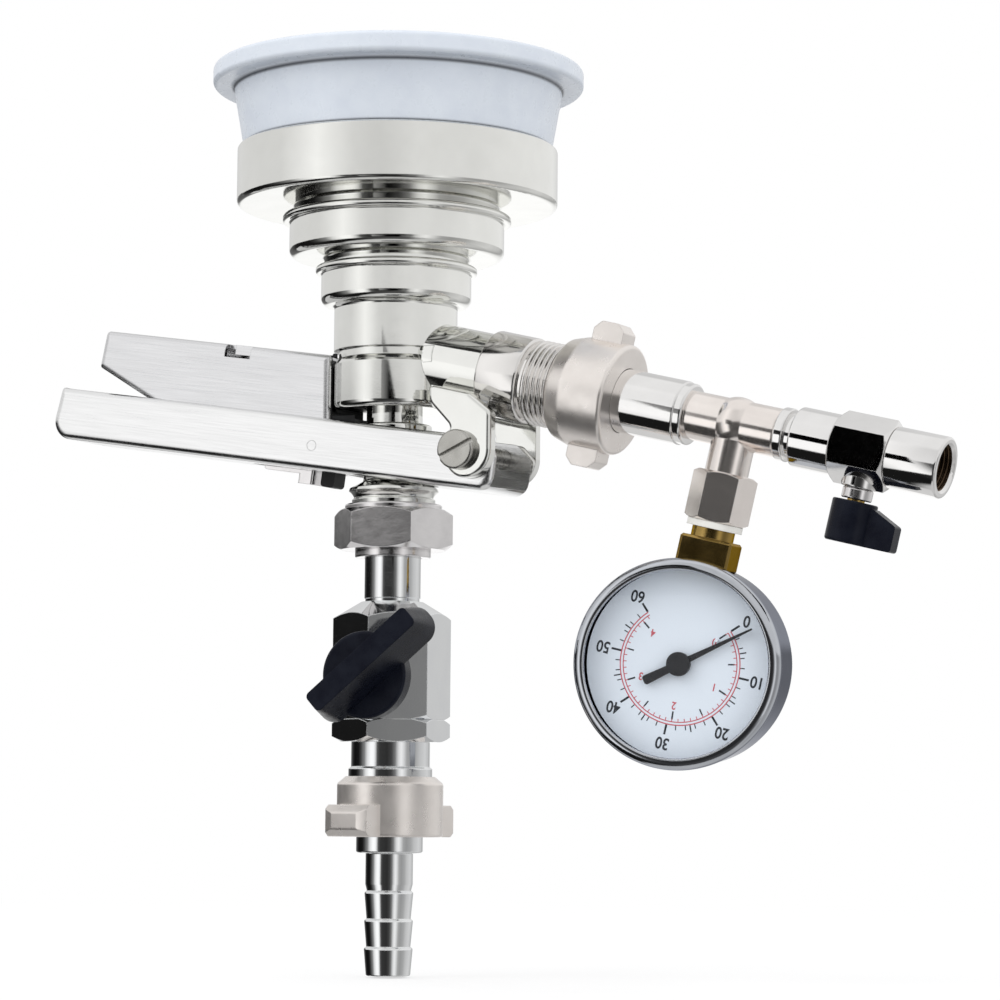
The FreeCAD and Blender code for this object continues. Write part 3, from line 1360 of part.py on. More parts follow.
def make_squeeze_lever():
    """Release lever: pressed channel, closed on top, that nests in the hand lever."""
    half = squeeze_w / 2
    high = -lever_below + squeeze_top
    blank = plate(squeeze_outline(), -half, half)
    tops = [e for e in blank.Edges if squeeze_top_edge(e, high, half)]
    blank = blank.makeFillet(squeeze_bend_r, tops)
    inner = half - squeeze_t
    room = Part.makeBox(120, 2 * inner, 60, V(squeeze_left + squeeze_t, -inner, high - squeeze_t - 60))
    inner_tops = [e for e in room.Edges if squeeze_top_edge(e, high - squeeze_t, inner)]
    room = room.makeFillet(squeeze_bend_r - squeeze_t + 0.3, inner_tops)
    pin = Part.makeCylinder(latch_pin_r + running_gap, 4 * half, V(latch_pin_x, -2 * half, -lever_below + latch_pin_up), Y_AXIS)
    notch_x = squeeze_left + squeeze_notch_x
    notch = Part.makeBox(squeeze_notch_l, squeeze_notch_w, squeeze_notch_h + 1,
                         V(notch_x, -half - 1, high - squeeze_notch_h))
    tab = Part.makeBox(squeeze_tab_l, squeeze_t, squeeze_t + squeeze_tab_h,
                       V(notch_x + squeeze_notch_l - squeeze_tab_l, -half + squeeze_notch_w - 1 - squeeze_t,
                         high - squeeze_t - squeeze_tab_h))
    lever = blank.cut([room, pin, notch])
    return on_lever(lever.fuse(tab)).cut(body_clearance())


def squeeze_top_edge(edge, high, half):
    """Is this one of the long straight top edges of the squeeze lever?"""
    box = edge.BoundBox
    return (box.XLength > squeeze_w and abs(box.ZMax - high) < 1e-3 and box.ZLength < 1e-3
            and abs(abs(box.YMin) - half) < 1e-3 and box.YLength < 1e-3)


def body_clearance():
    """Cylinder round the body that the squeeze lever and its latch keep out of."""
    return rod(body_r + latch_clear, body_low - air_gap, body_top)


def make_latch_pawl():
    """Black latch block in the squeeze lever's end: tooth for the groove, foot through the web."""
    half = latch_w / 2
    base = -lever_below
    left = squeeze_right - 7.0
    low = base + latch_pin_up - latch_pin_boss
    top = base + squeeze_top - squeeze_t - 0.1
    nose_left = squeeze_right + 0.15
    nose_top = base + squeeze_top + nose_rise
    upper = plate([(left, low, 1.0), (latch_step_x, low, 1.0), (latch_step_x, base + latch_step_up, 1.0),
                   (latch_right, base + latch_step_up, 0), (latch_right, nose_top, 0),
                   (nose_left, nose_top, 0.6), (nose_left, top, 0), (left, top, 1.0)], -half, half)
    foot = plate([(latch_foot_x0, base - latch_foot_drop, 1.2), (latch_foot_x1, base - latch_foot_drop, 1.2),
                  (latch_foot_x1, base + latch_pin_up, 0), (latch_foot_x0, base + latch_pin_up, 0)],
                 -latch_foot_w / 2, latch_foot_w / 2)
    hole = Part.makeCylinder(latch_pin_r + running_gap, 4 * half,
                             V(latch_pin_x, -2 * half, base + latch_pin_up), Y_AXIS)
    placed = on_lever(upper.fuse(foot).cut(hole))
    tooth_low = groove_z - tooth_h / 2
    tooth_high = groove_z + tooth_h / 2
    under = body_low - latch_under
    beside = Part.makeBox(4 * body_r, 4 * body_r, body_top - under,
                          V(-body_r * 0.72, -2 * body_r, under))
    room = rod(body_r + latch_clear, under, tooth_low)
    room = room.fuse(rod(body_r + latch_clear, tooth_high, body_top))
    room = room.fuse(rod(body_r - tooth_reach, tooth_low - 0.1, tooth_high + 0.1))
    spool_room = rod(spool_flange_r + spool_clear, carrier_neck_end, under + 0.1)
    return placed.cut([room, beside, spool_room]).removeSplitter()


def make_latch_pin():
    """Pin of the squeeze lever through the hand lever's sides."""
    half = lever_w / 2
    pin = Part.makeCylinder(latch_pin_r, 2 * half, V(latch_pin_x, -half, -lever_below + latch_pin_up), Y_AXIS)
    return on_lever(pin)


def make_squeeze_spring():
    """Coil spring that holds the two levers apart and the latch in its groove."""
    low = -lever_below + lever_t
    high = -lever_below + squeeze_top - squeeze_t
    spring = helix_spring(squeeze_spring_r, squeeze_spring_wire_r, squeeze_spring_turns,
                          high - low - 2 * squeeze_spring_wire_r - 0.2)
    spring.translate(V(squeeze_spring_x, 0, low + squeeze_spring_wire_r + 0.1))
    return on_lever(spring)


NODES = {
    "centring_ring": make_centring_ring,
    "keg_cup": make_keg_cup,
    "keg_seal": make_keg_seal,
    "step_collar": make_step_collar,
    "body_gasket": make_body_gasket,
    "coupler_body": make_body,
    "probe_o_rings": make_probe_o_rings,
    "port_nipple": make_port_nipple,
    "check_retainer": make_check_retainer,
    "check_ball": make_check_ball,
    "check_spring": make_check_spring,
    "gas_washer": make_gas_washer,
    "gas_wing_nut": make_gas_wing_nut,
    "gas_tailpiece": make_gas_tailpiece,
    "tee": make_tee,
    "mini_valve_body": make_mini_valve_body,
    "mini_valve_end": make_mini_valve_end,
    "mini_valve_seat": make_mini_valve_seat,
    "mini_valve_ball": make_mini_valve_ball,
    "mini_valve_stem": make_mini_valve_stem,
    "mini_gland": make_mini_gland,
    "mini_valve_handle": make_mini_valve_handle,
    "gauge_washer": make_gauge_washer,
    "gauge_socket": make_gauge_socket,
    "gauge_case": make_gauge_case,
    "gauge_bezel": make_gauge_bezel,
    "gauge_window": make_gauge_window,
    "gauge_dial": make_gauge_dial,
    "gauge_needle": make_gauge_needle,
    "gauge_pinion": make_gauge_pinion,
    "gauge_sector": make_gauge_sector,
    "gauge_movement": make_gauge_movement,
    "bourdon_tube": make_bourdon_tube,
    "probe": make_probe,
    "probe_seal": make_probe_seal,
    "probe_carrier": make_probe_carrier,
    "outlet_washer": make_outlet_washer,
    "union_nut": make_union_nut,
    "outlet_nipple": make_outlet_nipple,
    "valve_body": make_valve_body,
    "valve_end": make_valve_end,
    "valve_seats": make_valve_seats,
    "valve_ball": make_valve_ball,
    "valve_stem": make_valve_stem,
    "gland_nut": make_gland_nut,
    "valve_handle": make_valve_handle,
    "hose_wing_nut": make_hose_wing_nut,
    "hose_washer": make_hose_washer,
    "hose_barb": make_hose_barb,
    "main_lever": make_main_lever,
    "drive_rollers": make_drive_rollers,
    "latch_anchor": make_latch_anchor,
    "pivot_screw": make_pivot_screw,
    "pivot_nut": make_pivot_nut,
    "squeeze_lever": make_squeeze_lever,
    "latch_pawl": make_latch_pawl,
    "latch_pin": make_latch_pin,
    "squeeze_spring": make_squeeze_spring,
}


def main():
    """Build every piece and write it to its own file."""
    os.makedirs("parts", exist_ok=True)
    for name, make in NODES.items():
        make().exportStep(f"parts/{name}.step")


main()
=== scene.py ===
import json
import math

import bpy
import numpy as np
from mathutils import Matrix, Vector


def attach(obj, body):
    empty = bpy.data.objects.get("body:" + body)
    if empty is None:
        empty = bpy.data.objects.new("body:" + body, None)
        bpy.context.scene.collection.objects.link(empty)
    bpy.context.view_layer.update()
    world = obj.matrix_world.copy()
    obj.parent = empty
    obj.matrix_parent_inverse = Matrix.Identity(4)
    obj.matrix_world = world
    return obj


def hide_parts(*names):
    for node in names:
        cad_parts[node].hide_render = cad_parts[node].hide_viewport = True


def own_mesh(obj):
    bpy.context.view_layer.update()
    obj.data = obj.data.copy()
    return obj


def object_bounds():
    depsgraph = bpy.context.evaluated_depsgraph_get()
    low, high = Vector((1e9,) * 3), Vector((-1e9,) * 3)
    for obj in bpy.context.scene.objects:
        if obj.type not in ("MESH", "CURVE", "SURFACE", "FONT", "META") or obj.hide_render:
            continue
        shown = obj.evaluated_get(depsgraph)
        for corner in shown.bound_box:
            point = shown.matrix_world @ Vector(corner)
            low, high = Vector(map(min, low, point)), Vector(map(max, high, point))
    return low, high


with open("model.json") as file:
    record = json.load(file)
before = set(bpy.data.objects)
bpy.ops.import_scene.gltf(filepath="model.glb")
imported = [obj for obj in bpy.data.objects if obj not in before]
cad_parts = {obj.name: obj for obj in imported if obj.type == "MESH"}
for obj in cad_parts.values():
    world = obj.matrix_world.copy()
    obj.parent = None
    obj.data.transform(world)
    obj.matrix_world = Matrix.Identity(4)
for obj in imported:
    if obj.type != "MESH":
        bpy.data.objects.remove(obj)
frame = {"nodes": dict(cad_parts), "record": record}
nodes = frame["nodes"]
cad_low, cad_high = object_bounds()

MM = 0.001
TURN = 2 * math.pi

# Places on the head, in millimetres and degrees, the same as in the solids
BRANCH_TILT = 13.4
BRANCH_DROP = 89.8
TEE_CENTRE = 118.8
GAUGE_TURN = 10.7
GAUGE_CENTRE = 73.4
GAUGE_FACE = 12.5
LEVER_TILT = 8.3
PIVOT = (31.7, 0.0, -123.5)
FLANGE_UNDER = -6.2
RING_FOOT = -25.5

# The springs: both ends along the axis, and (radius, wire, turns)
CHECK_SPRING = (52.3, 57.31)
CHECK_COIL = (2.48, 0.35, 5)
SQUEEZE_SPRING = (-9.25, 23.15)
SQUEEZE_SPRING_X = -91.6
SQUEEZE_COIL = (3.0, 0.45, 4)

# The camera: its place in millimetres, its angle to the right of the front, its upward angle and roll
CAMERA_AT = (495.4, -945.8, -234.6)
CAMERA_ASIDE = 25.86
CAMERA_RISE = 5.28
CAMERA_ROLL = -0.53
CAMERA_LENS = 123.28
CAMERA_SENSOR = 36.0


# Places: a point cloud is turned and shifted as whole arrays

def turned_y(points, degrees):
    """Points turned about Y: x' = x cos a + z sin a, z' = z cos a - x sin a."""
    a = math.radians(degrees)
    x, y, z = points[..., 0], points[..., 1], points[..., 2]
    return np.stack([x * math.cos(a) + z * math.sin(a), y, z * math.cos(a) - x * math.sin(a)], -1)


def turned_z(points, degrees):
    """Points turned about Z: x' = x cos a - y sin a, y' = x sin a + y cos a."""
    a = math.radians(degrees)
    x, y, z = points[..., 0], points[..., 1], points[..., 2]
    return np.stack([x * math.cos(a) - y * math.sin(a), x * math.sin(a) + y * math.cos(a), z], -1)


def on_column(points):
    """A piece of the upright column stays where its heights put it."""
    return points


def on_branch(points):
    """A piece drawn along +Z is laid on the gas branch, its height the length from the body's axis."""
    return turned_y(points, 90 + BRANCH_TILT) + np.array([0, 0, -BRANCH_DROP])


def under_branch(points, place=TEE_CENTRE):
    """A piece drawn along -Z hangs from the branch at a length from the body's axis."""
    tilt = math.radians(BRANCH_TILT)
    root = np.array([place * math.cos(tilt), 0, -BRANCH_DROP - place * math.sin(tilt)])
    return turned_y(points, BRANCH_TILT) + root


def on_gauge(points):
    """A piece drawn with the bezel's front at y = 0, facing -Y, is set on the gauge."""
    shifted = points + np.array([0, -GAUGE_FACE, 0])
    faced = turned_z(turned_y(shifted, 180), GAUGE_TURN)
    return under_branch(faced + np.array([0, 0, -GAUGE_CENTRE]))


def on_lever(points):
    """A piece drawn in the hand lever's own frame, pivot at the origin, is put in its place."""
    return turned_y(points, LEVER_TILT) + np.array(PIVOT)


# Meshes

def rounded(corners, steps=6):
    """Closed outline through (radius, height, round) corners: each corner becomes an arc that
    touches both of its sides, sampled in equal angles."""
    ring = []
    count = len(corners)
    for i, (r, z, fillet) in enumerate(corners):
        here = np.array([r, z], float)
        before = np.array(corners[i - 1][:2], float) - here
        after = np.array(corners[(i + 1) % count][:2], float) - here
        before /= np.linalg.norm(before)
        after /= np.linalg.norm(after)
        if fillet <= 0:
            ring.append(here[None])
            continue
        half = math.acos(float(np.clip(before @ after, -1, 1))) / 2
        bisector = (before + after) / np.linalg.norm(before + after)
        centre = here + bisector * fillet / math.sin(half)
        start = here + before * fillet / math.tan(half) - centre
        turn = math.pi - 2 * half
        side = 1.0 if before[0] * after[1] - before[1] * after[0] < 0 else -1.0
        a = side * np.linspace(0, turn, steps)
        arc = np.stack([start[0] * np.cos(a) - start[1] * np.sin(a),
                        start[0] * np.sin(a) + start[1] * np.cos(a)], -1)
        ring.append(arc + centre)
    return np.concatenate(ring)


def grid_faces(rows, columns, close_rows, close_columns):
    """Corner numbers of the quads of a grid, as one array."""
    i = np.arange(rows if close_rows else rows - 1)[:, None]
    j = np.arange(columns if close_columns else columns - 1)[None, :]
    i2, j2 = (i + 1) % rows, (j + 1) % columns
    corners = np.broadcast_arrays(i * columns + j, i * columns + j2, i2 * columns + j2, i2 * columns + j)
    return np.stack(corners, -1).reshape(-1, 4)


def mesh_piece(name, points, faces, material, sharp=32.0):
    """One object of millimetre points and equal-sided faces, smooth but for edges sharper than `sharp`."""
    mesh = bpy.data.meshes.new(name)
    flat = (np.asarray(points, float).reshape(-1, 3) * MM).astype(np.float32)
    sides = faces.shape[1]
    mesh.vertices.add(len(flat))
    mesh.vertices.foreach_set("co", flat.ravel())
    mesh.loops.add(faces.size)
    mesh.loops.foreach_set("vertex_index", faces.astype(np.int32).ravel())
    mesh.polygons.add(len(faces))
    mesh.polygons.foreach_set("loop_start", np.arange(0, faces.size, sides, dtype=np.int32))
    mesh.polygons.foreach_set("loop_total", np.full(len(faces), sides, np.int32))
    mesh.update(calc_edges=True)
    mesh.validate()
    mesh.shade_smooth()
    mesh.set_sharp_from_angle(angle=math.radians(sharp))
    mesh.materials.append(material)
    piece = bpy.data.objects.new(name, mesh)
    bpy.context.scene.collection.objects.link(piece)
    return piece


def turned_piece(name, outline, material, place=on_column, steps=180, section=None, sharp=32.0):
    """Skin of a turned piece: each outline point (radius, height) goes round the axis,
    x = r cos a, y = r sin a, z = h, where section(a, r, h) may pull r in or push it out."""
    a = np.linspace(0, TURN, steps, endpoint=False)[None, :]
    r = np.broadcast_to(outline[:, :1], (len(outline), steps))
    h = np.broadcast_to(outline[:, 1:], r.shape)
    if section is not None:
        r, h = section(a, r, h)
    points = place(np.stack([r * np.cos(a), r * np.sin(a), h], -1))
    faces = grid_faces(len(outline), steps, True, True)
    x, z = outline[:, 0], outline[:, 1]
    if np.sum(x * np.roll(z, -1) - z * np.roll(x, -1)) < 0:
        faces = faces[:, ::-1]
    return mesh_piece(name, points, faces, material, sharp)


def finely(outline, first, last, count):
    """The outline with the straight run from corner `first` to corner `last` cut into equal parts."""
    share = np.linspace(0, 1, count + 1)[1:-1, None]
    run = outline[first] * (1 - share) + outline[last] * share
    return np.concatenate([outline[:first + 1], run, outline[last:]])


# Shader nodes

def add(tree, kind, inputs=None, **settings):
    """One shader node with its settings and inputs; an input that is a socket is linked."""
    made = tree.nodes.new(kind)
    for key, value in settings.items():
        setattr(made, key, value)
    for key, value in (inputs or {}).items():
        if isinstance(value, bpy.types.NodeSocket):
            tree.links.new(value, made.inputs[key])
        else:
            made.inputs[key].default_value = value
    return made


def worked(tree, operation, *values):
    """Result of one arithmetic step."""
    return add(tree, "ShaderNodeMath", dict(enumerate(values)), operation=operation).outputs[0]


def total(tree, *values):
    """Sum of several values."""
    result = values[0]
    for value in values[1:]:
        result = worked(tree, "ADD", result, value)
    return result


def mapped(tree, value, start, end, low=0.0, high=1.0, kind="LINEAR"):
    """A value carried from the span start..end to low..high and kept inside it."""
    spans = {"Value": value, "From Min": start, "From Max": end, "To Min": low, "To Max": high}
    return add(tree, "ShaderNodeMapRange", spans, interpolation_type=kind).outputs[0]


def as_colour(tone):
    """A tone as a shader colour; a socket stays as it is."""
    return tone if isinstance(tone, bpy.types.NodeSocket) else (*tone, 1)


def tint(tree, share, first, second):
    """Colour between two tones by a share."""
    ends = {"Factor": share, 6: as_colour(first), 7: as_colour(second)}
    return add(tree, "ShaderNodeMix", ends, data_type="RGBA").outputs[2]


def own_place(tree, turn=(0, 0, 0), stretch=(1, 1, 1)):
    """Place on the piece in millimetres, turned so that the piece's own axis is Z."""
    where = add(tree, "ShaderNodeTexCoord").outputs["Object"]
    turned = add(tree, "ShaderNodeMapping", {"Vector": where, "Rotation": [math.radians(t) for t in turn],
                                             "Scale": (1 / MM, 1 / MM, 1 / MM)}).outputs[0]
    return add(tree, "ShaderNodeVectorMath", {0: turned, 1: stretch}, operation="MULTIPLY").outputs[0]


def part_of(tree, place, axis):
    """One coordinate of a place."""
    return add(tree, "ShaderNodeSeparateXYZ", {0: place}).outputs[axis]


def cloud(tree, place, size, detail=3.0, low=0.0, high=1.0, start=0.3, end=0.7):
    """Soft random patches of a size in millimetres, as a value from low to high."""
    noise = add(tree, "ShaderNodeTexNoise", {"Vector": place, "Scale": 1 / size, "Detail": detail})
    return mapped(tree, noise.outputs[0], start, end, low, high)


def turning_lines(tree, place, pitch):
    """Fine tool lines round the piece's axis: a random profile over the height alone."""
    along = worked(tree, "MULTIPLY", part_of(tree, place, "Z"), 1 / pitch)
    noise = add(tree, "ShaderNodeTexNoise", {"W": along, "Scale": 1.0, "Detail": 2.0}, noise_dimensions="1D")
    return mapped(tree, noise.outputs[0], 0.3, 0.7)


def relief(tree, height, strength, depth, edge=0.0):
    """Normal of a fine relief whose depth is in millimetres, over edges worn round by `edge`."""
    made = add(tree, "ShaderNodeBump", {"Height": height, "Strength": strength, "Distance": depth * MM})
    if edge > 0:
        worn = add(tree, "ShaderNodeBevel", {"Radius": edge * MM}, samples=4)
        tree.links.new(worn.outputs[0], made.inputs["Normal"])
    return made.outputs[0]


def only(tree, kind):
    """The one node of a kind in a material."""
    return next(node for node in tree.nodes if node.bl_idname == kind)


def show(tree, surface):
    """Make this the surface that the material shows."""
    tree.links.new(surface, only(tree, "ShaderNodeOutputMaterial").inputs[0])


def use(tree, shader, **sockets):
    """Link patterns to the shader's colour, roughness and normal."""
    names = {"colour": "Base Color", "roughness": "Roughness", "normal": "Normal"}
    for key, value in sockets.items():
        tree.links.new(value, shader.inputs[names[key]])


def finish(name, constants):
    """New material with its shader; constants go straight on the shader's sockets."""
    material = bpy.data.materials.new(name)
    material.use_nodes = True
    tree = material.node_tree
    tree.nodes.clear()
    shader = add(tree, "ShaderNodeBsdfPrincipled", constants)
    add(tree, "ShaderNodeOutputMaterial")
    show(tree, shader.outputs[0])
    return material, tree, shader


# Finishes. Sizes are in millimetres, and `turn` lays the piece's own axis along Z

def plated(name, bright, dull, roughness, spread, turn=(0, 0, 0), lines=0.0, cast=0.0, cast_size=1.2,
           edge=0.3, metallic=1.0, glance=(1.0, 1.0, 1.0)):
    """Plated or bare bright metal: two tones in soft patches, tool lines round the axis, faint
    scuffs, and where it is cast, a shallow uneven skin. `glance` is its tone at a low angle."""
    constants = {"Metallic": metallic, "IOR": 2.0, "Specular Tint": (*glance, 1)}
    material, tree, shader = finish(name, constants)
    place = own_place(tree, turn)
    scuffed = own_place(tree, (turn[0] + 20, turn[1] + 35, 15), stretch=(0.12, 1.0, 1.0))
    patches = cloud(tree, place, size=9.0, detail=4.0)
    scuffs = cloud(tree, scuffed, size=0.35, detail=2.0, start=0.52, end=0.75)
    fine = cloud(tree, place, size=0.5)
    skin = cloud(tree, place, size=cast_size)
    line = turning_lines(tree, place, pitch=0.16)
    rough = total(tree, cloud(tree, place, 4.0, 5.0, low=roughness - spread, high=roughness + spread),
                  worked(tree, "MULTIPLY", scuffs, spread))
    height = total(tree, worked(tree, "MULTIPLY", line, lines), worked(tree, "MULTIPLY", skin, cast),
                   worked(tree, "MULTIPLY", fine, 0.02))
    use(tree, shader, colour=tint(tree, patches, bright, dull), roughness=rough,
        normal=relief(tree, height, strength=1.0, depth=0.05, edge=edge))
    return material


def moulded(name, tone, worn, roughness, grain, grain_depth, constants=None):
    """Moulded plastic or rubber: even tone with faint cloudiness, a fine grain, and rubbed spots."""
    material, tree, shader = finish(name, constants or {})
    place = own_place(tree)
    patches = cloud(tree, place, size=6.0, detail=4.0, start=0.35, end=0.75)
    rubbed = own_place(tree, (10, 25, 40), stretch=(0.2, 1, 1))
    rubs = cloud(tree, rubbed, size=0.5, high=0.10, start=0.55, end=0.8)
    rough = total(tree, cloud(tree, place, 3.0, 4.0, low=roughness - 0.05, high=roughness + 0.05), rubs)
    skin = cloud(tree, place, size=grain, detail=2.0)
    use(tree, shader, colour=tint(tree, patches, tone, worn), roughness=rough,
        normal=relief(tree, skin, strength=0.6, depth=grain_depth, edge=0.4))
    return material


def brushed(name, bright, dull, roughness, turn):
    """Sheet steel rolled and brushed along the piece's X: long fine lines in tone, gloss and relief."""
    material, tree, shader = finish(name, {"Metallic": 1.0, "IOR": 2.0})
    along = own_place(tree, turn, stretch=(0.025, 1, 1))
    hair = cloud(tree, along, size=0.22)
    broad = cloud(tree, own_place(tree, turn, stretch=(0.06, 1, 1)), size=2.5)
    rough = cloud(tree, along, size=0.5, low=roughness - 0.07, high=roughness + 0.07)
    patches = total(tree, worked(tree, "MULTIPLY", hair, 0.5), worked(tree, "MULTIPLY", broad, 0.5))
    use(tree, shader, colour=tint(tree, patches, bright, dull), roughness=rough,
        normal=relief(tree, hair, strength=0.35, depth=0.008, edge=0.3))
    return material


def painted(name, tone, shade, roughness):
    """Thin paint or print: even tone with very fine speckle."""
    material, tree, shader = finish(name, {"Metallic": 0.0, "Specular IOR Level": 0.2})
    place = own_place(tree)
    speckle = cloud(tree, place, size=0.25, detail=2.0)
    rough = cloud(tree, place, size=2.0, low=roughness - 0.04, high=roughness + 0.04)
    use(tree, shader, colour=tint(tree, speckle, tone, shade), roughness=rough,
        normal=relief(tree, speckle, strength=0.2, depth=0.01))
    return material


def clear_window(name):
    """Clear window of the gauge, with faint wipe marks in its gloss."""
    constants = {"Transmission Weight": 1.0, "IOR": 1.3, "Specular IOR Level": 0.15,
                 "Base Color": (0.97, 0.985, 1.0, 1)}
    material, tree, shader = finish(name, constants)
    wiped = own_place(tree, stretch=(0.3, 1, 1))
    use(tree, shader, roughness=cloud(tree, wiped, 3.0, 4.0, high=0.03, start=0.4, end=0.8))
    return material


def with_seams(material, shade_lines, tone):
    """The finish with painted shade: thin dark lines round the piece, each at a height and fading over a
    width.
    """
    tree = material.node_tree
    shader = only(tree, "ShaderNodeBsdfPrincipled")
    colour = shader.inputs["Base Color"].links[0].from_socket
    height = part_of(tree, own_place(tree), "Z")
    # Each line darkens the colour towards a dark tone, as painted shade.
    for level, width in shade_lines:
        away = worked(tree, "ABSOLUTE", worked(tree, "SUBTRACT", height, level))
        colour = tint(tree, mapped(tree, away, 0.0, width, 1.0, 0.0, "SMOOTHSTEP"), colour, tone)
    use(tree, shader, colour=colour)
    return material


BRANCH_AXIS = (0, -(90 + BRANCH_TILT), 0)
HANGING_AXIS = (0, -BRANCH_TILT, 0)
GAUGE_AXIS = (0, 0, -GAUGE_TURN)
LEVER_AXIS = (0, -LEVER_TILT, 0)

WHITE_SHEEN = {"Subsurface Weight": 0.08, "Subsurface Radius": (1.0, 1.0, 1.0), "Subsurface Scale": 0.001}
BLACK_SHEEN = {"IOR": 1.33, "Specular IOR Level": 0.22}
# Painted shade on the ring: a dark line under the flange and one where its foot enters the cup.
RING_PAINTED_SHADE = [(FLANGE_UNDER - 0.9, 1.0), (RING_FOOT + 0.2, 0.9)]

finishes = {
    # The ring's finish carries painted shade lines under the flange and at the foot.
    "ring_plastic": with_seams(
        moulded("ring_plastic", (0.72, 0.77, 0.84), (0.67, 0.72, 0.80), 0.30, 0.35, 0.006, WHITE_SHEEN),
        RING_PAINTED_SHADE, (0.13, 0.14, 0.16)),
    "bell_nickel": plated("bell_nickel", (0.86, 0.86, 0.83), (0.82, 0.82, 0.79), 0.07, 0.02, lines=0.012),
    "branch_nickel": plated("branch_nickel", (0.85, 0.83, 0.81), (0.80, 0.78, 0.76), 0.10, 0.02,
                            BRANCH_AXIS, 0.012),
    "lever_steel": brushed("lever_steel", (0.92, 0.92, 0.92), (0.85, 0.85, 0.85), 0.22, LEVER_AXIS),
    "nut_nickel": plated("nut_nickel", (0.84, 0.82, 0.82), (0.76, 0.74, 0.74), 0.16, 0.03,
                         cast=0.12, cast_size=2.5),
    "squeeze_steel": brushed("squeeze_steel", (0.79, 0.79, 0.80), (0.72, 0.72, 0.73), 0.24, LEVER_AXIS),
    "cast_nickel": plated("cast_nickel", (0.92, 0.87, 0.83), (0.85, 0.80, 0.76), 0.30, 0.04,
                          cast=0.12, cast_size=2.0, edge=0.5, metallic=0.85),
    "bore_brass": plated("bore_brass", (0.16, 0.11, 0.07), (0.09, 0.06, 0.04), 0.42, 0.06,
                         BRANCH_AXIS, 0.05),
    "column_chrome": plated("column_chrome", (0.88, 0.89, 0.89), (0.84, 0.85, 0.86), 0.05, 0.015,
                            lines=0.012),
    "branch_chrome": plated("branch_chrome", (0.88, 0.87, 0.86), (0.83, 0.82, 0.81), 0.06, 0.015,
                            BRANCH_AXIS, 0.012),
    "hanging_chrome": plated("hanging_chrome", (0.93, 0.87, 0.83), (0.86, 0.80, 0.76), 0.15, 0.03,
                             HANGING_AXIS, 0.012, metallic=0.92),
    "black_plastic": moulded("black_plastic", (0.005, 0.006, 0.012), (0.010, 0.012, 0.020),
                             0.28, 0.18, 0.008, BLACK_SHEEN),
    "latch_black": painted("latch_black", (0.010, 0.010, 0.011), (0.018, 0.018, 0.019), 0.42),
    "screw_steel": plated("screw_steel", (0.56, 0.55, 0.52), (0.44, 0.43, 0.40), 0.26, 0.05),
    "block_brass": plated("block_brass", (0.44, 0.30, 0.10), (0.34, 0.22, 0.06), 0.18, 0.04,
                          HANGING_AXIS, 0.06, glance=(0.55, 0.42, 0.20)),
    "movement_brass": plated("movement_brass", (0.72, 0.58, 0.28), (0.60, 0.46, 0.20), 0.25, 0.05,
                             glance=(0.9, 0.8, 0.5)),
    "tube_bronze": plated("tube_bronze", (0.66, 0.46, 0.26), (0.55, 0.37, 0.20), 0.22, 0.05),
    "seal_rubber": moulded("seal_rubber", (0.020, 0.020, 0.020), (0.035, 0.035, 0.034), 0.55, 0.3, 0.01),
    "keg_rubber": moulded("keg_rubber", (0.030, 0.030, 0.030), (0.050, 0.050, 0.048), 0.6, 0.3, 0.01),
    "white_washer": moulded("white_washer", (0.86, 0.85, 0.81), (0.80, 0.79, 0.75), 0.45, 0.3, 0.01),
    "gauge_chrome": plated("gauge_chrome", (0.62, 0.64, 0.68), (0.54, 0.56, 0.60), 0.07, 0.02,
                           GAUGE_AXIS, glance=(0.35, 0.36, 0.40)),
    "dial_white": painted("dial_white", (0.80, 0.86, 0.93), (0.77, 0.83, 0.91), 0.5),
    "needle_black": painted("needle_black", (0.012, 0.012, 0.014), (0.022, 0.022, 0.025), 0.35),
    "window_clear": clear_window("window_clear"),
    "spring_steel": plated("spring_steel", (0.62, 0.62, 0.62), (0.5, 0.5, 0.5), 0.25, 0.05),
    "ball_steel": plated("ball_steel", (0.82, 0.82, 0.82), (0.76, 0.76, 0.76), 0.08, 0.03),
    "print_black": painted("print_black", (0.020, 0.024, 0.032), (0.030, 0.034, 0.044), 0.5),
    "print_red": painted("print_red", (0.62, 0.13, 0.16), (0.55, 0.11, 0.14), 0.5),
}

# Solids whose finish differs from that of their slot
own_finish = {
    "port_nipple": "branch_nickel", "gas_tailpiece": "branch_chrome", "tee": "hanging_chrome",
    "mini_valve_body": "branch_chrome", "mini_valve_end": "branch_chrome", "outlet_nipple": "column_chrome",
    "valve_body": "column_chrome", "valve_end": "column_chrome", "hose_barb": "column_chrome",
    "pivot_screw": "screw_steel", "pivot_nut": "screw_steel",
    "gas_wing_nut": "cast_nickel", "hose_wing_nut": "cast_nickel", "squeeze_lever": "squeeze_steel",
}
for part in frame["record"]["subparts"]:
    skin = nodes[part["node"]].data.materials
    skin.clear()
    skin.append(finishes[own_finish.get(part["node"]) or part["material_slot"]])
nodes["gauge_window"].visible_shadow = False
nodes["gauge_window"].visible_diffuse = False


# The gauge's printed scales. Depths are from the bezel's front: the dial's face, how far the
# print's front stands over it, and how far its back stays clear of it

DIAL_FRONT = 7.4
PRINT_LIFT = 0.05
PRINT_GAP = 0.01
ZERO_AT = 225.0
SWEEP = 270.0
OUTER_END = 60
INNER_STEP = 14.504
ARC_STEPS = 181
FIGURE_WEIGHT = 0.02
FIGURE_SQUEEZE = 0.86

# Rows of marks: readings, first and last radius, width
OUTER_MARKS = ((range(0, 61, 10), 18.4, 21.4, 0.62), (range(0, 61, 2), 18.4, 19.7, 0.30),
               (range(0, 61, 5), 18.4, 20.4, 0.38))
INNER_MARKS = (((0.5, 1.5, 2.5, 3.5), 14.6, 16.6, 0.42), (range(5), 14.2, 16.6, 0.50))
INNER_TICKS = ([v / 10 for v in range(42)], 16.3, 17.3, 0.24)

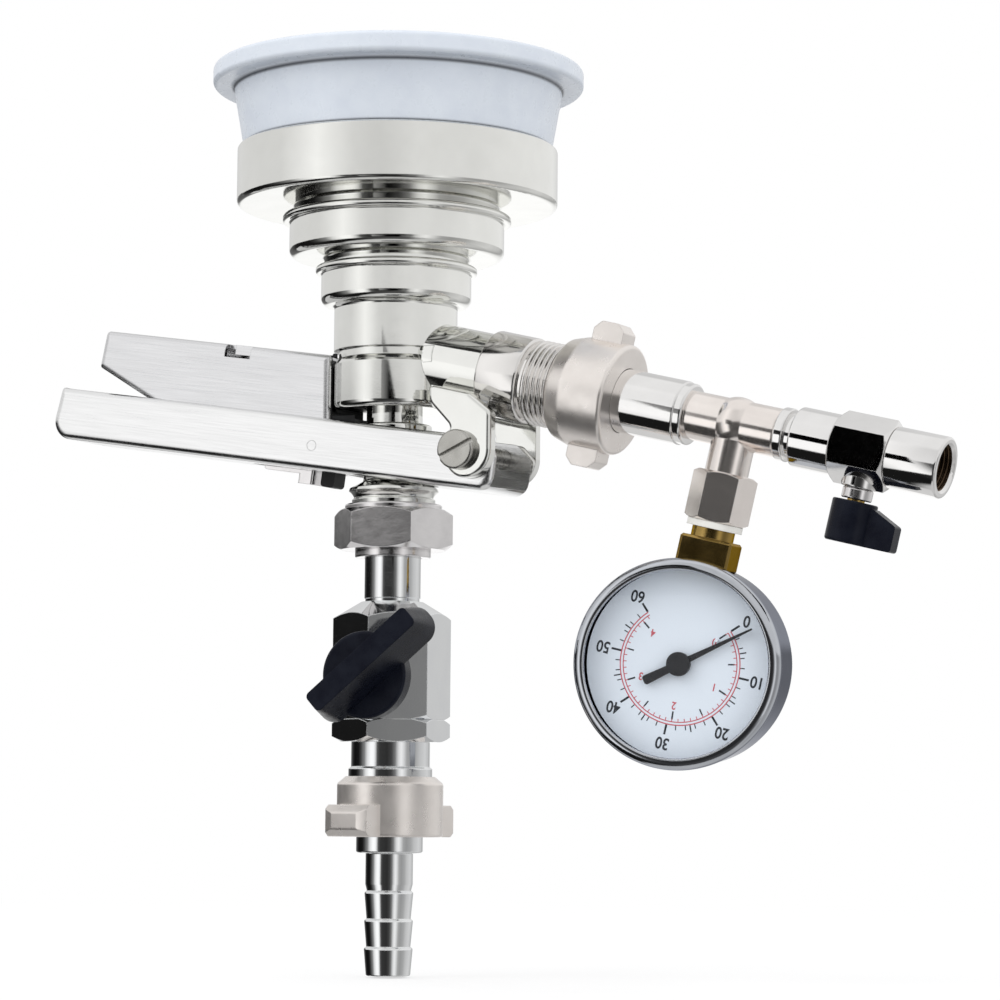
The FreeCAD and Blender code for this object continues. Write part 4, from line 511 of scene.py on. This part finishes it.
# The two printed arcs, as radius and width, and the two rows of figures, as radius and size
ARCS = ((18.2, 0.34), (17.3, 0.30))
LARGE_FIGURES = (24.0, 4.9)
SMALL_FIGURES = (12.4, 3.2)


def outer_at(value):
    """Angle of a reading of the outer scale."""
    return ZERO_AT + SWEEP * value / OUTER_END


def inner_at(value):
    """Angle of a reading of the inner scale, one of whose steps is INNER_STEP of the outer's."""
    return outer_at(value * INNER_STEP)


def dial_place(radius, clockwise, depth):
    """Points on the dial at an angle clockwise from its top: x = r sin a, z = r cos a."""
    a = np.radians(clockwise)
    return np.stack(np.broadcast_arrays(radius * np.sin(a), depth, radius * np.cos(a)), -1)


def scale_marks(angles, inner, outer, width):
    """Thin blocks from radius inner to outer at each of the angles, each `width` across."""
    angles = np.asarray(angles, float)
    across = np.degrees(width / 2 / inner)
    corners = []
    for depth in (DIAL_FRONT - PRINT_LIFT, DIAL_FRONT - PRINT_GAP):
        for radius, share in ((inner, -1), (outer, -1), (outer, 1), (inner, 1)):
            corners.append(dial_place(radius, angles + across * share * inner / radius, depth))
    box = np.array([[0, 1, 2, 3], [7, 6, 5, 4], [0, 4, 5, 1], [1, 5, 6, 2], [2, 6, 7, 3], [3, 7, 4, 0]])
    faces = (np.arange(len(angles))[:, None, None] * 8 + box[None]).reshape(-1, 4)
    return np.stack(corners, 1).reshape(-1, 3), faces


def scale_arc(radius, width):
    """Printed arc: a thin band of the given width at a radius, along the whole outer scale."""
    a = np.linspace(outer_at(0), outer_at(OUTER_END), ARC_STEPS)[:, None]
    near, far = radius - width / 2, radius + width / 2
    front, back = DIAL_FRONT - PRINT_LIFT, DIAL_FRONT - PRINT_GAP
    points = dial_place(np.array([[near, far, far, near]]), a, np.array([[front, front, back, back]]))
    return points.reshape(-1, 3), grid_faces(ARC_STEPS, 4, False, True)


def joined(parts):
    """Several point clouds with their faces as one."""
    shift = 0
    points, faces = [], []
    for p, f in parts:
        points.append(p)
        faces.append(f + shift)
        shift += len(p)
    return np.concatenate(points), np.concatenate(faces)


def figure_mesh(text, size):
    """Points and triangles of a printed number, its middle at the origin, in millimetres."""
    curve = bpy.data.curves.new("figure", "FONT")
    curve.body = text
    curve.size = size
    curve.offset = size * FIGURE_WEIGHT
    curve.align_x, curve.align_y = "CENTER", "CENTER"
    holder = bpy.data.objects.new("figure", curve)
    bpy.context.scene.collection.objects.link(holder)
    bpy.context.view_layer.update()
    mesh = bpy.data.meshes.new_from_object(holder.evaluated_get(bpy.context.evaluated_depsgraph_get()))
    mesh.calc_loop_triangles()
    points = np.array([v.co for v in mesh.vertices], float)
    triangles = np.array([t.vertices for t in mesh.loop_triangles])
    bpy.data.objects.remove(holder)
    bpy.data.meshes.remove(mesh)
    return points, triangles


def printed_figures(figures, radius, size):
    """Numbers set upright on the dial round its middle, each at its own angle."""
    parts = []
    for text, angle in figures:
        points, triangles = figure_mesh(text, size)
        flat = np.stack([points[:, 0] * FIGURE_SQUEEZE, np.zeros(len(points)), points[:, 1]], -1)
        parts.append((flat + dial_place(radius, angle, DIAL_FRONT - PRINT_LIFT), triangles))
    return joined(parts)


def make_dial_print():
    """Outer scale 0 to 60 in black, inner scale 0 to 4 in red and black, on the dial."""
    rows = [scale_marks([outer_at(v) for v in values], *sizes) for values, *sizes in OUTER_MARKS]
    rows += [scale_marks([inner_at(v) for v in values], *sizes) for values, *sizes in INNER_MARKS]
    points, faces = joined(rows)
    black = mesh_piece("dial_marks", on_gauge(points), faces, finishes["print_black"])
    ticks, *sizes = INNER_TICKS
    rows = [scale_arc(*arc) for arc in ARCS] + [scale_marks([inner_at(v) for v in ticks], *sizes)]
    points, faces = joined(rows)
    red = mesh_piece("dial_ring", on_gauge(points), faces, finishes["print_red"])
    points, faces = printed_figures([(str(v), outer_at(v)) for v in range(0, 61, 10)], *LARGE_FIGURES)
    large = mesh_piece("dial_figures", on_gauge(points), faces, finishes["print_black"])
    points, faces = printed_figures([(str(v), inner_at(v)) for v in range(5)], *SMALL_FIGURES)
    small = mesh_piece("dial_small_figures", on_gauge(points), faces, finishes["print_red"])
    for piece in (black, red, large, small):
        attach(piece, "head")


# Threads, cut as a helix over a turned skin

ON_CREST = 0.02
RIDGE_POWER = 1.4


def threaded(crest, depth, pitch, low, high, fade=1.0):
    """Section rule of a thread: the radius falls from the crest by a rounded ridge profile of
    (height / pitch - angle / turn), faded in and out at both ends."""
    def section(a, r, h):
        phase = h / pitch - a / TURN
        ridge = (0.5 - 0.5 * np.cos(TURN * phase)) ** RIDGE_POWER
        inside = np.clip((h - low) / fade, 0, 1) * np.clip((high - h) / fade, 0, 1)
        return np.where(np.abs(r - crest) < ON_CREST, r - depth * ridge * inside, r), h
    return section


def with_run(corners, steps, z_from, z_to, radius, rows, end_reach=2.0):
    """Rounded outline whose straight run at one radius is cut into many rows for a thread."""
    outline = rounded(corners, steps)
    on_run = np.where(np.isclose(outline[:, 0], radius, rtol=0, atol=1e-6))[0]
    ends = [i for i in on_run if min(abs(outline[i, 1] - z_from), abs(outline[i, 1] - z_to)) < end_reach]
    return finely(outline, min(ends), max(ends), rows)


def make_port_nipple():
    """Gas inlet nipple with its male pipe thread, on the branch."""
    start, collar_start, collar_end, end = 23.4, 35.4, 49.5, 66.5
    spigot_r, collar_r, neck_r, thread_r = 8.05, 13.4, 11.8, 13.2
    seat_r, mouth_r, throat_r = 5.0, 4.6, 2.4
    depth, pitch = 1.15, 1.814
    thread_start = collar_end + 2.3
    corners = [(seat_r, start, 0), (spigot_r, start, 0.5), (spigot_r, collar_start, 0),
               (collar_r, collar_start, 0.8), (collar_r, collar_end, 0.8), (neck_r, collar_end, 0),
               (neck_r, collar_end + 1.3, 0), (thread_r, thread_start, 0.2), (thread_r, end, 0.8),
               (mouth_r, end, 0), (mouth_r, end - 15, 0), (throat_r, end - 18, 0), (throat_r, end - 23, 0),
               (seat_r, end - 26, 0)]
    outline = with_run(corners, 5, thread_start, end, thread_r, rows=132)
    piece = turned_piece("port_nipple_threaded", outline, finishes["branch_nickel"], on_branch, steps=160,
                         section=threaded(thread_r, depth, pitch, thread_start, end - 0.6), sharp=40)
    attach(piece, "head")
    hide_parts("port_nipple")


def make_mini_mouth():
    """Open mouth of the small valve, its bore tapped with a pipe thread that cuts outwards."""
    inner, block_end, end = 166.0, 169.42, 185.8
    way_r, spigot_r, mouth_r, rim_r, bore_r = 3.6, 7.1, 9.2, 7.5, 6.6
    depth, pitch = -0.75, 1.337
    corners = [(way_r, inner, 0), (spigot_r, inner, 0), (spigot_r, block_end, 0), (mouth_r, block_end, 0.5),
               (mouth_r, end, 0.9), (rim_r, end, 0.2), (bore_r, end - 0.9, 0), (bore_r, end - 11.5, 0),
               (way_r, end - 13.5, 0)]
    outline = with_run(corners, 6, end - 11.5, end - 0.9, bore_r, rows=110)
    piece = turned_piece("mini_mouth_threaded", outline, finishes["branch_chrome"], on_branch, steps=120,
                         section=threaded(bore_r, depth, pitch, end - 11.5, end + 1.0), sharp=40)
    piece.data.materials.append(finishes["bore_brass"])
    inside = outline[:, 0] < spigot_r + 0.1
    bare = inside & np.roll(inside, -1)
    around = len(piece.data.polygons) // len(outline)
    piece.data.polygons.foreach_set("material_index", np.repeat(bare, around).astype(np.int32))
    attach(piece, "head")
    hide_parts("mini_valve_end")


def make_rolled_bezel():
    """Bezel rolled over the window: its section is a quarter turn from the skirt to the front and a
    small one into the glass, drawn as (radius, depth) and laid facing -Y by y' = depth, z' = -y."""
    skirt_r, case_r, lip_r = 30.65, 31.5, 27.9
    back, lip = 4.2, 1.2
    corners = [(skirt_r, back, 0), (case_r, back, 0.35), (case_r, 0.0, 2.7), (lip_r, 0.0, 0.75),
               (lip_r, lip, 0), (skirt_r, lip, 0)]

    def facing(points):
        return on_gauge(np.stack([points[..., 0], points[..., 2], -points[..., 1]], -1))

    piece = turned_piece("gauge_bezel_rolled", rounded(corners, 12), finishes["gauge_chrome"], facing)
    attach(piece, "head")
    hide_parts("gauge_bezel")


def coil_piece(name, radius, wire, turns, low, high, place, material, per_turn=30, sides=12):
    """Coil spring: its wire's middle runs on the helix x = R cos t, y = R sin t, z = low + rise t, a
    circle of the wire's radius is carried along it, and a fan of triangles closes each end."""
    t = np.linspace(0, TURN * turns, turns * per_turn + 1)[:, None]
    a = np.linspace(0, TURN, sides, endpoint=False)[None, :, None]
    rise = (high - low) / (TURN * turns)
    outward = np.stack([np.cos(t), np.sin(t), 0 * t], -1)
    along = np.stack([-radius * np.sin(t), radius * np.cos(t), rise + 0 * t], -1) / math.hypot(radius, rise)
    middle = np.stack([radius * np.cos(t), radius * np.sin(t), low + rise * t], -1)
    skin = middle + wire * (np.cos(a) * outward + np.sin(a) * np.cross(along, outward))
    quads = grid_faces(len(t), sides, False, True)
    near, ring = len(t) * sides, np.arange(sides)
    last, following = near - sides + ring, (ring + 1) % sides
    caps = [np.stack([np.full(sides, near), following, ring], -1),
            np.stack([np.full(sides, near + 1), last, last[following]], -1)]
    faces = np.concatenate([quads[:, [0, 1, 2]], quads[:, [0, 2, 3]], *caps])
    points = np.concatenate([skin.reshape(-1, 3), middle[0], middle[-1]])
    return mesh_piece(name, place(points), faces, material, sharp=50)


def make_springs():
    """The two coil springs, drawn as coils in place of the solid springs."""
    low, high = CHECK_SPRING
    spring = coil_piece("check_spring_coil", *CHECK_COIL, low, high, on_branch, finishes["spring_steel"])
    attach(spring, "head")
    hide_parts("check_spring")
    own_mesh(spring)

    def above_lever(points):
        return on_lever(points + np.array([SQUEEZE_SPRING_X, 0.0, 0.0]))

    low, high = SQUEEZE_SPRING
    spring = coil_piece("squeeze_spring_coil", *SQUEEZE_COIL, low, high, above_lever,
                        finishes["spring_steel"])
    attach(spring, "lever")
    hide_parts("squeeze_spring")
    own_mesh(spring)


def make_groove_end():
    """Metal that ends the latch groove at the gas boss: a ring sunk in the groove's floor, which comes
    out to the boss's skin where that stands over the body. With the branch tilted by T, the skin's
    distance r along angle a solves (r sin a)^2 + (h cos T + r cos a sin T)^2 = boss radius^2."""
    body, root, sunk, reach, boss = 19.35, 17.0, 17.6, 22.3, 11.97
    top, low = -89.88, -95.05
    tilt = math.radians(BRANCH_TILT)

    def section(a, r, h):
        up = (h + BRANCH_DROP) * math.cos(tilt)
        square = np.sin(a) ** 2 + (np.cos(a) * math.sin(tilt)) ** 2
        half = up * np.cos(a) * math.sin(tilt)
        skin = (-half + np.sqrt(half ** 2 - square * (up ** 2 - boss ** 2))) / square
        out = np.where((skin > body) & (np.cos(a) > 0), np.minimum(skin, reach), sunk)
        return np.where(r > body, out, r), h

    outline = finely(np.array([[root, top], [reach, top], [reach, low], [root, low]]), 1, 2, 14)
    piece = turned_piece("groove_end", outline, finishes["bell_nickel"], steps=720, section=section)
    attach(piece, "head")


# Floor, light and camera. The studio's brightness is given by degrees to the right of the camera,
# above, near and under the horizon, and each layer takes over between two heights of direction

FLOOR_SIZE = 6000.0
FLOOR_GAP = 0.5
FLOOR_TONE = (0.60, 0.60, 0.60)
TOP_TONE = (0.90, 0.90, 0.90)
WHITE = (1, 1, 1)
HIGH_TONES = ((-180, 0.62), (-150, 0.75), (-90, 0.75), (-72, 0.90), (-58, 1.05), (-45, 0.92), (-30, 0.75),
              (-10, 0.70), (15, 0.80), (60, 0.80), (90, 0.86), (150, 0.88), (180, 0.62))
CARD_TONES = ((-180, 1.10), (-170, 1.00), (-163, 0.15), (-150, 0.10), (-137, 0.02), (-125, 0.006),
              (-105, 0.010), (-95, 0.05), (-80, 0.25), (-70, 0.80), (-58, 1.12), (-49, 1.10), (-44, 0.80),
              (-38, 0.10), (-30, 0.04), (-8, 0.03), (5, 0.06), (15, 0.20), (25, 0.75), (33, 0.95),
              (42, 0.70), (50, 0.40), (62, 0.34), (80, 0.42), (95, 0.58), (120, 0.70), (140, 0.60),
              (155, 0.40), (166, 0.90), (180, 1.10))
UNDER_TONES = ((-180, 0.70), (-135, 0.70), (-122, 0.01), (-60, 0.01), (-30, 0.06), (15, 0.08), (40, 0.60),
               (60, 0.45), (90, 0.50), (120, 0.60), (165, 0.40), (180, 0.70))
EVEN_TONES = ((0.0, 0.45), (0.5, 0.95), (1.0, 1.20))


def make_floor():
    """Plain pale floor just under the hose tail, which fades into the background's white."""
    x, y = np.meshgrid([-FLOOR_SIZE, FLOOR_SIZE], [-FLOOR_SIZE, FLOOR_SIZE])
    points = np.stack([x, y, np.full(x.shape, cad_low.z / MM - FLOOR_GAP)], -1)
    material, tree, shader = finish("pale_floor", {"Roughness": 0.9, "Specular IOR Level": 0.0})
    place = own_place(tree)
    use(tree, shader, colour=tint(tree, cloud(tree, place, 60.0), (0.93, 0.93, 0.935), (0.91, 0.91, 0.915)))
    flat = add(tree, "ShaderNodeVectorMath", {0: place, 1: (1, 1, 0)}, operation="MULTIPLY").outputs[0]
    reach = add(tree, "ShaderNodeVectorMath", {0: flat}, operation="LENGTH").outputs["Value"]
    fading = mapped(tree, reach, start=60.0, end=900.0, low=0.60, high=1.0, kind="SMOOTHSTEP")
    glow = add(tree, "ShaderNodeEmission", {"Color": as_colour(WHITE), "Strength": 1.0})
    both = add(tree, "ShaderNodeMixShader", {0: fading, 1: shader.outputs[0], 2: glow.outputs[0]})
    show(tree, both.outputs[0])
    floor = mesh_piece("floor", points, grid_faces(2, 2, False, False), material)
    floor.visible_glossy = floor.visible_diffuse = False


def make_strip_card():
    """Narrow dark card before the body, seen only in reflections: a flat band between two ends,
    point = first + u (second - first) + v up, whose light falls from its left end to nothing half way."""
    first, second = np.array([110.0, -195.0, -100.0]), np.array([10.0, -195.0, -77.0])
    foot, top, dark_from = -44.0, 17.0, 60.0
    u, v = np.meshgrid([0.0, 1.0], [foot, top])
    points = first + u[..., None] * (second - first) + v[..., None] * np.array([0, 0, 1.0])
    material, tree, shader = finish("strip_card", {})
    light = mapped(tree, part_of(tree, own_place(tree), "X"), second[0], dark_from, low=0.30, high=0.0)
    show(tree, add(tree, "ShaderNodeEmission", {"Color": as_colour(WHITE), "Strength": light}).outputs[0])
    card = mesh_piece("strip_card", points, grid_faces(2, 2, False, False), material)
    card.visible_camera = card.visible_diffuse = card.visible_shadow = card.visible_transmission = False


def band(tree, value, stops):
    """Brightness along a value from 0 to 1, as a ramp of (place, brightness) stops."""
    ramp = add(tree, "ShaderNodeValToRGB", {0: value})
    elements = ramp.color_ramp.elements
    while len(elements) > 1:
        elements.remove(elements[-1])
    elements[0].position, elements[0].color = stops[0][0], as_colour((stops[0][1],) * 3)
    for place, brightness in stops[1:]:
        elements.new(place).color = as_colour((brightness,) * 3)
    return ramp.outputs[0]


def make_studio():
    """Soft white studio round the object: bright ceiling, dark and bright cards near the horizon,
    and a plain white background."""
    world = bpy.data.worlds.new("studio")
    bpy.context.scene.world = world
    world.use_nodes = True
    tree = world.node_tree
    tree.nodes.clear()
    direction = add(tree, "ShaderNodeTexCoord").outputs["Generated"]
    to_camera = (0, 0, math.radians(90 - CAMERA_ASIDE))
    turned = add(tree, "ShaderNodeMapping", {"Vector": direction, "Rotation": to_camera}).outputs[0]
    ahead, across, height = add(tree, "ShaderNodeSeparateXYZ", {0: turned}).outputs
    share = mapped(tree, worked(tree, "ARCTAN2", across, ahead), -math.pi, math.pi)
    under, cards, high = (band(tree, share, [((a + 180) / 360, tone) for a, tone in tones])
                          for tones in (UNDER_TONES, CARD_TONES, HIGH_TONES))
    light = FLOOR_TONE
    for start, end, layer in ((-0.90, -0.84, under), (-0.545, -0.50, cards), (0.078, 0.135, high),
                              (0.80, 0.92, TOP_TONE)):
        light = tint(tree, mapped(tree, height, start, end, kind="SMOOTHSTEP"), light, layer)
    even = band(tree, mapped(tree, height, -1.0, 1.0), EVEN_TONES)
    path = add(tree, "ShaderNodeLightPath")
    soft = tint(tree, path.outputs["Is Diffuse Ray"], light, even)
    seen = tint(tree, path.outputs["Is Camera Ray"], soft, WHITE)
    background = add(tree, "ShaderNodeBackground", {"Color": seen, "Strength": 1.0})
    output = add(tree, "ShaderNodeOutputWorld")
    tree.links.new(background.outputs[0], output.inputs[0])


def area_light(name, place, target, size, power):
    """Soft square box at a place, aimed at a point of the object and not seen in its gloss; in metres."""
    data = bpy.data.lights.new(name, "AREA")
    data.shape = "RECTANGLE"
    data.size = data.size_y = size
    data.energy = power
    lamp = bpy.data.objects.new(name, data)
    bpy.context.scene.collection.objects.link(lamp)
    lamp.location = place
    lamp.rotation_mode = "QUATERNION"
    lamp.rotation_quaternion = (Vector(target) - Vector(place)).to_track_quat("-Z", "Y")
    lamp.visible_glossy = False


def make_camera():
    """Camera at the photograph's angle: right of the front, looking a little up, barely rolled."""
    data = bpy.data.cameras.new("camera")
    data.lens = CAMERA_LENS
    data.sensor_width = CAMERA_SENSOR
    data.clip_start, data.clip_end = 0.05, 50.0
    camera = bpy.data.objects.new("camera", data)
    bpy.context.scene.collection.objects.link(camera)
    aside, rise, roll = math.radians(CAMERA_ASIDE), math.radians(CAMERA_RISE), math.radians(CAMERA_ROLL)
    forward = Vector((-math.sin(aside) * math.cos(rise), math.cos(aside) * math.cos(rise), math.sin(rise)))
    right = forward.cross(Vector((0, 0, 1))).normalized()
    up = right.cross(forward)
    right, up = right * math.cos(roll) - up * math.sin(roll), up * math.cos(roll) + right * math.sin(roll)
    turned = Matrix((right, up, -forward)).transposed()
    camera.matrix_world = Matrix.Translation(Vector(CAMERA_AT) * MM) @ turned.to_4x4()
    bpy.context.scene.camera = camera


make_dial_print()
make_port_nipple()
make_mini_mouth()
make_rolled_bezel()
make_springs()
make_groove_end()
make_floor()
make_strip_card()
make_studio()
area_light("key", place=(-0.6, -1.0, 0.7), target=(0.0, 0.0, -0.1), size=0.9, power=4.0)
area_light("fill", place=(1.1, -0.5, 0.2), target=(0.05, 0.0, -0.12), size=0.8, power=1.5)
make_camera()
bpy.context.scene.view_settings.view_transform = "Standard"
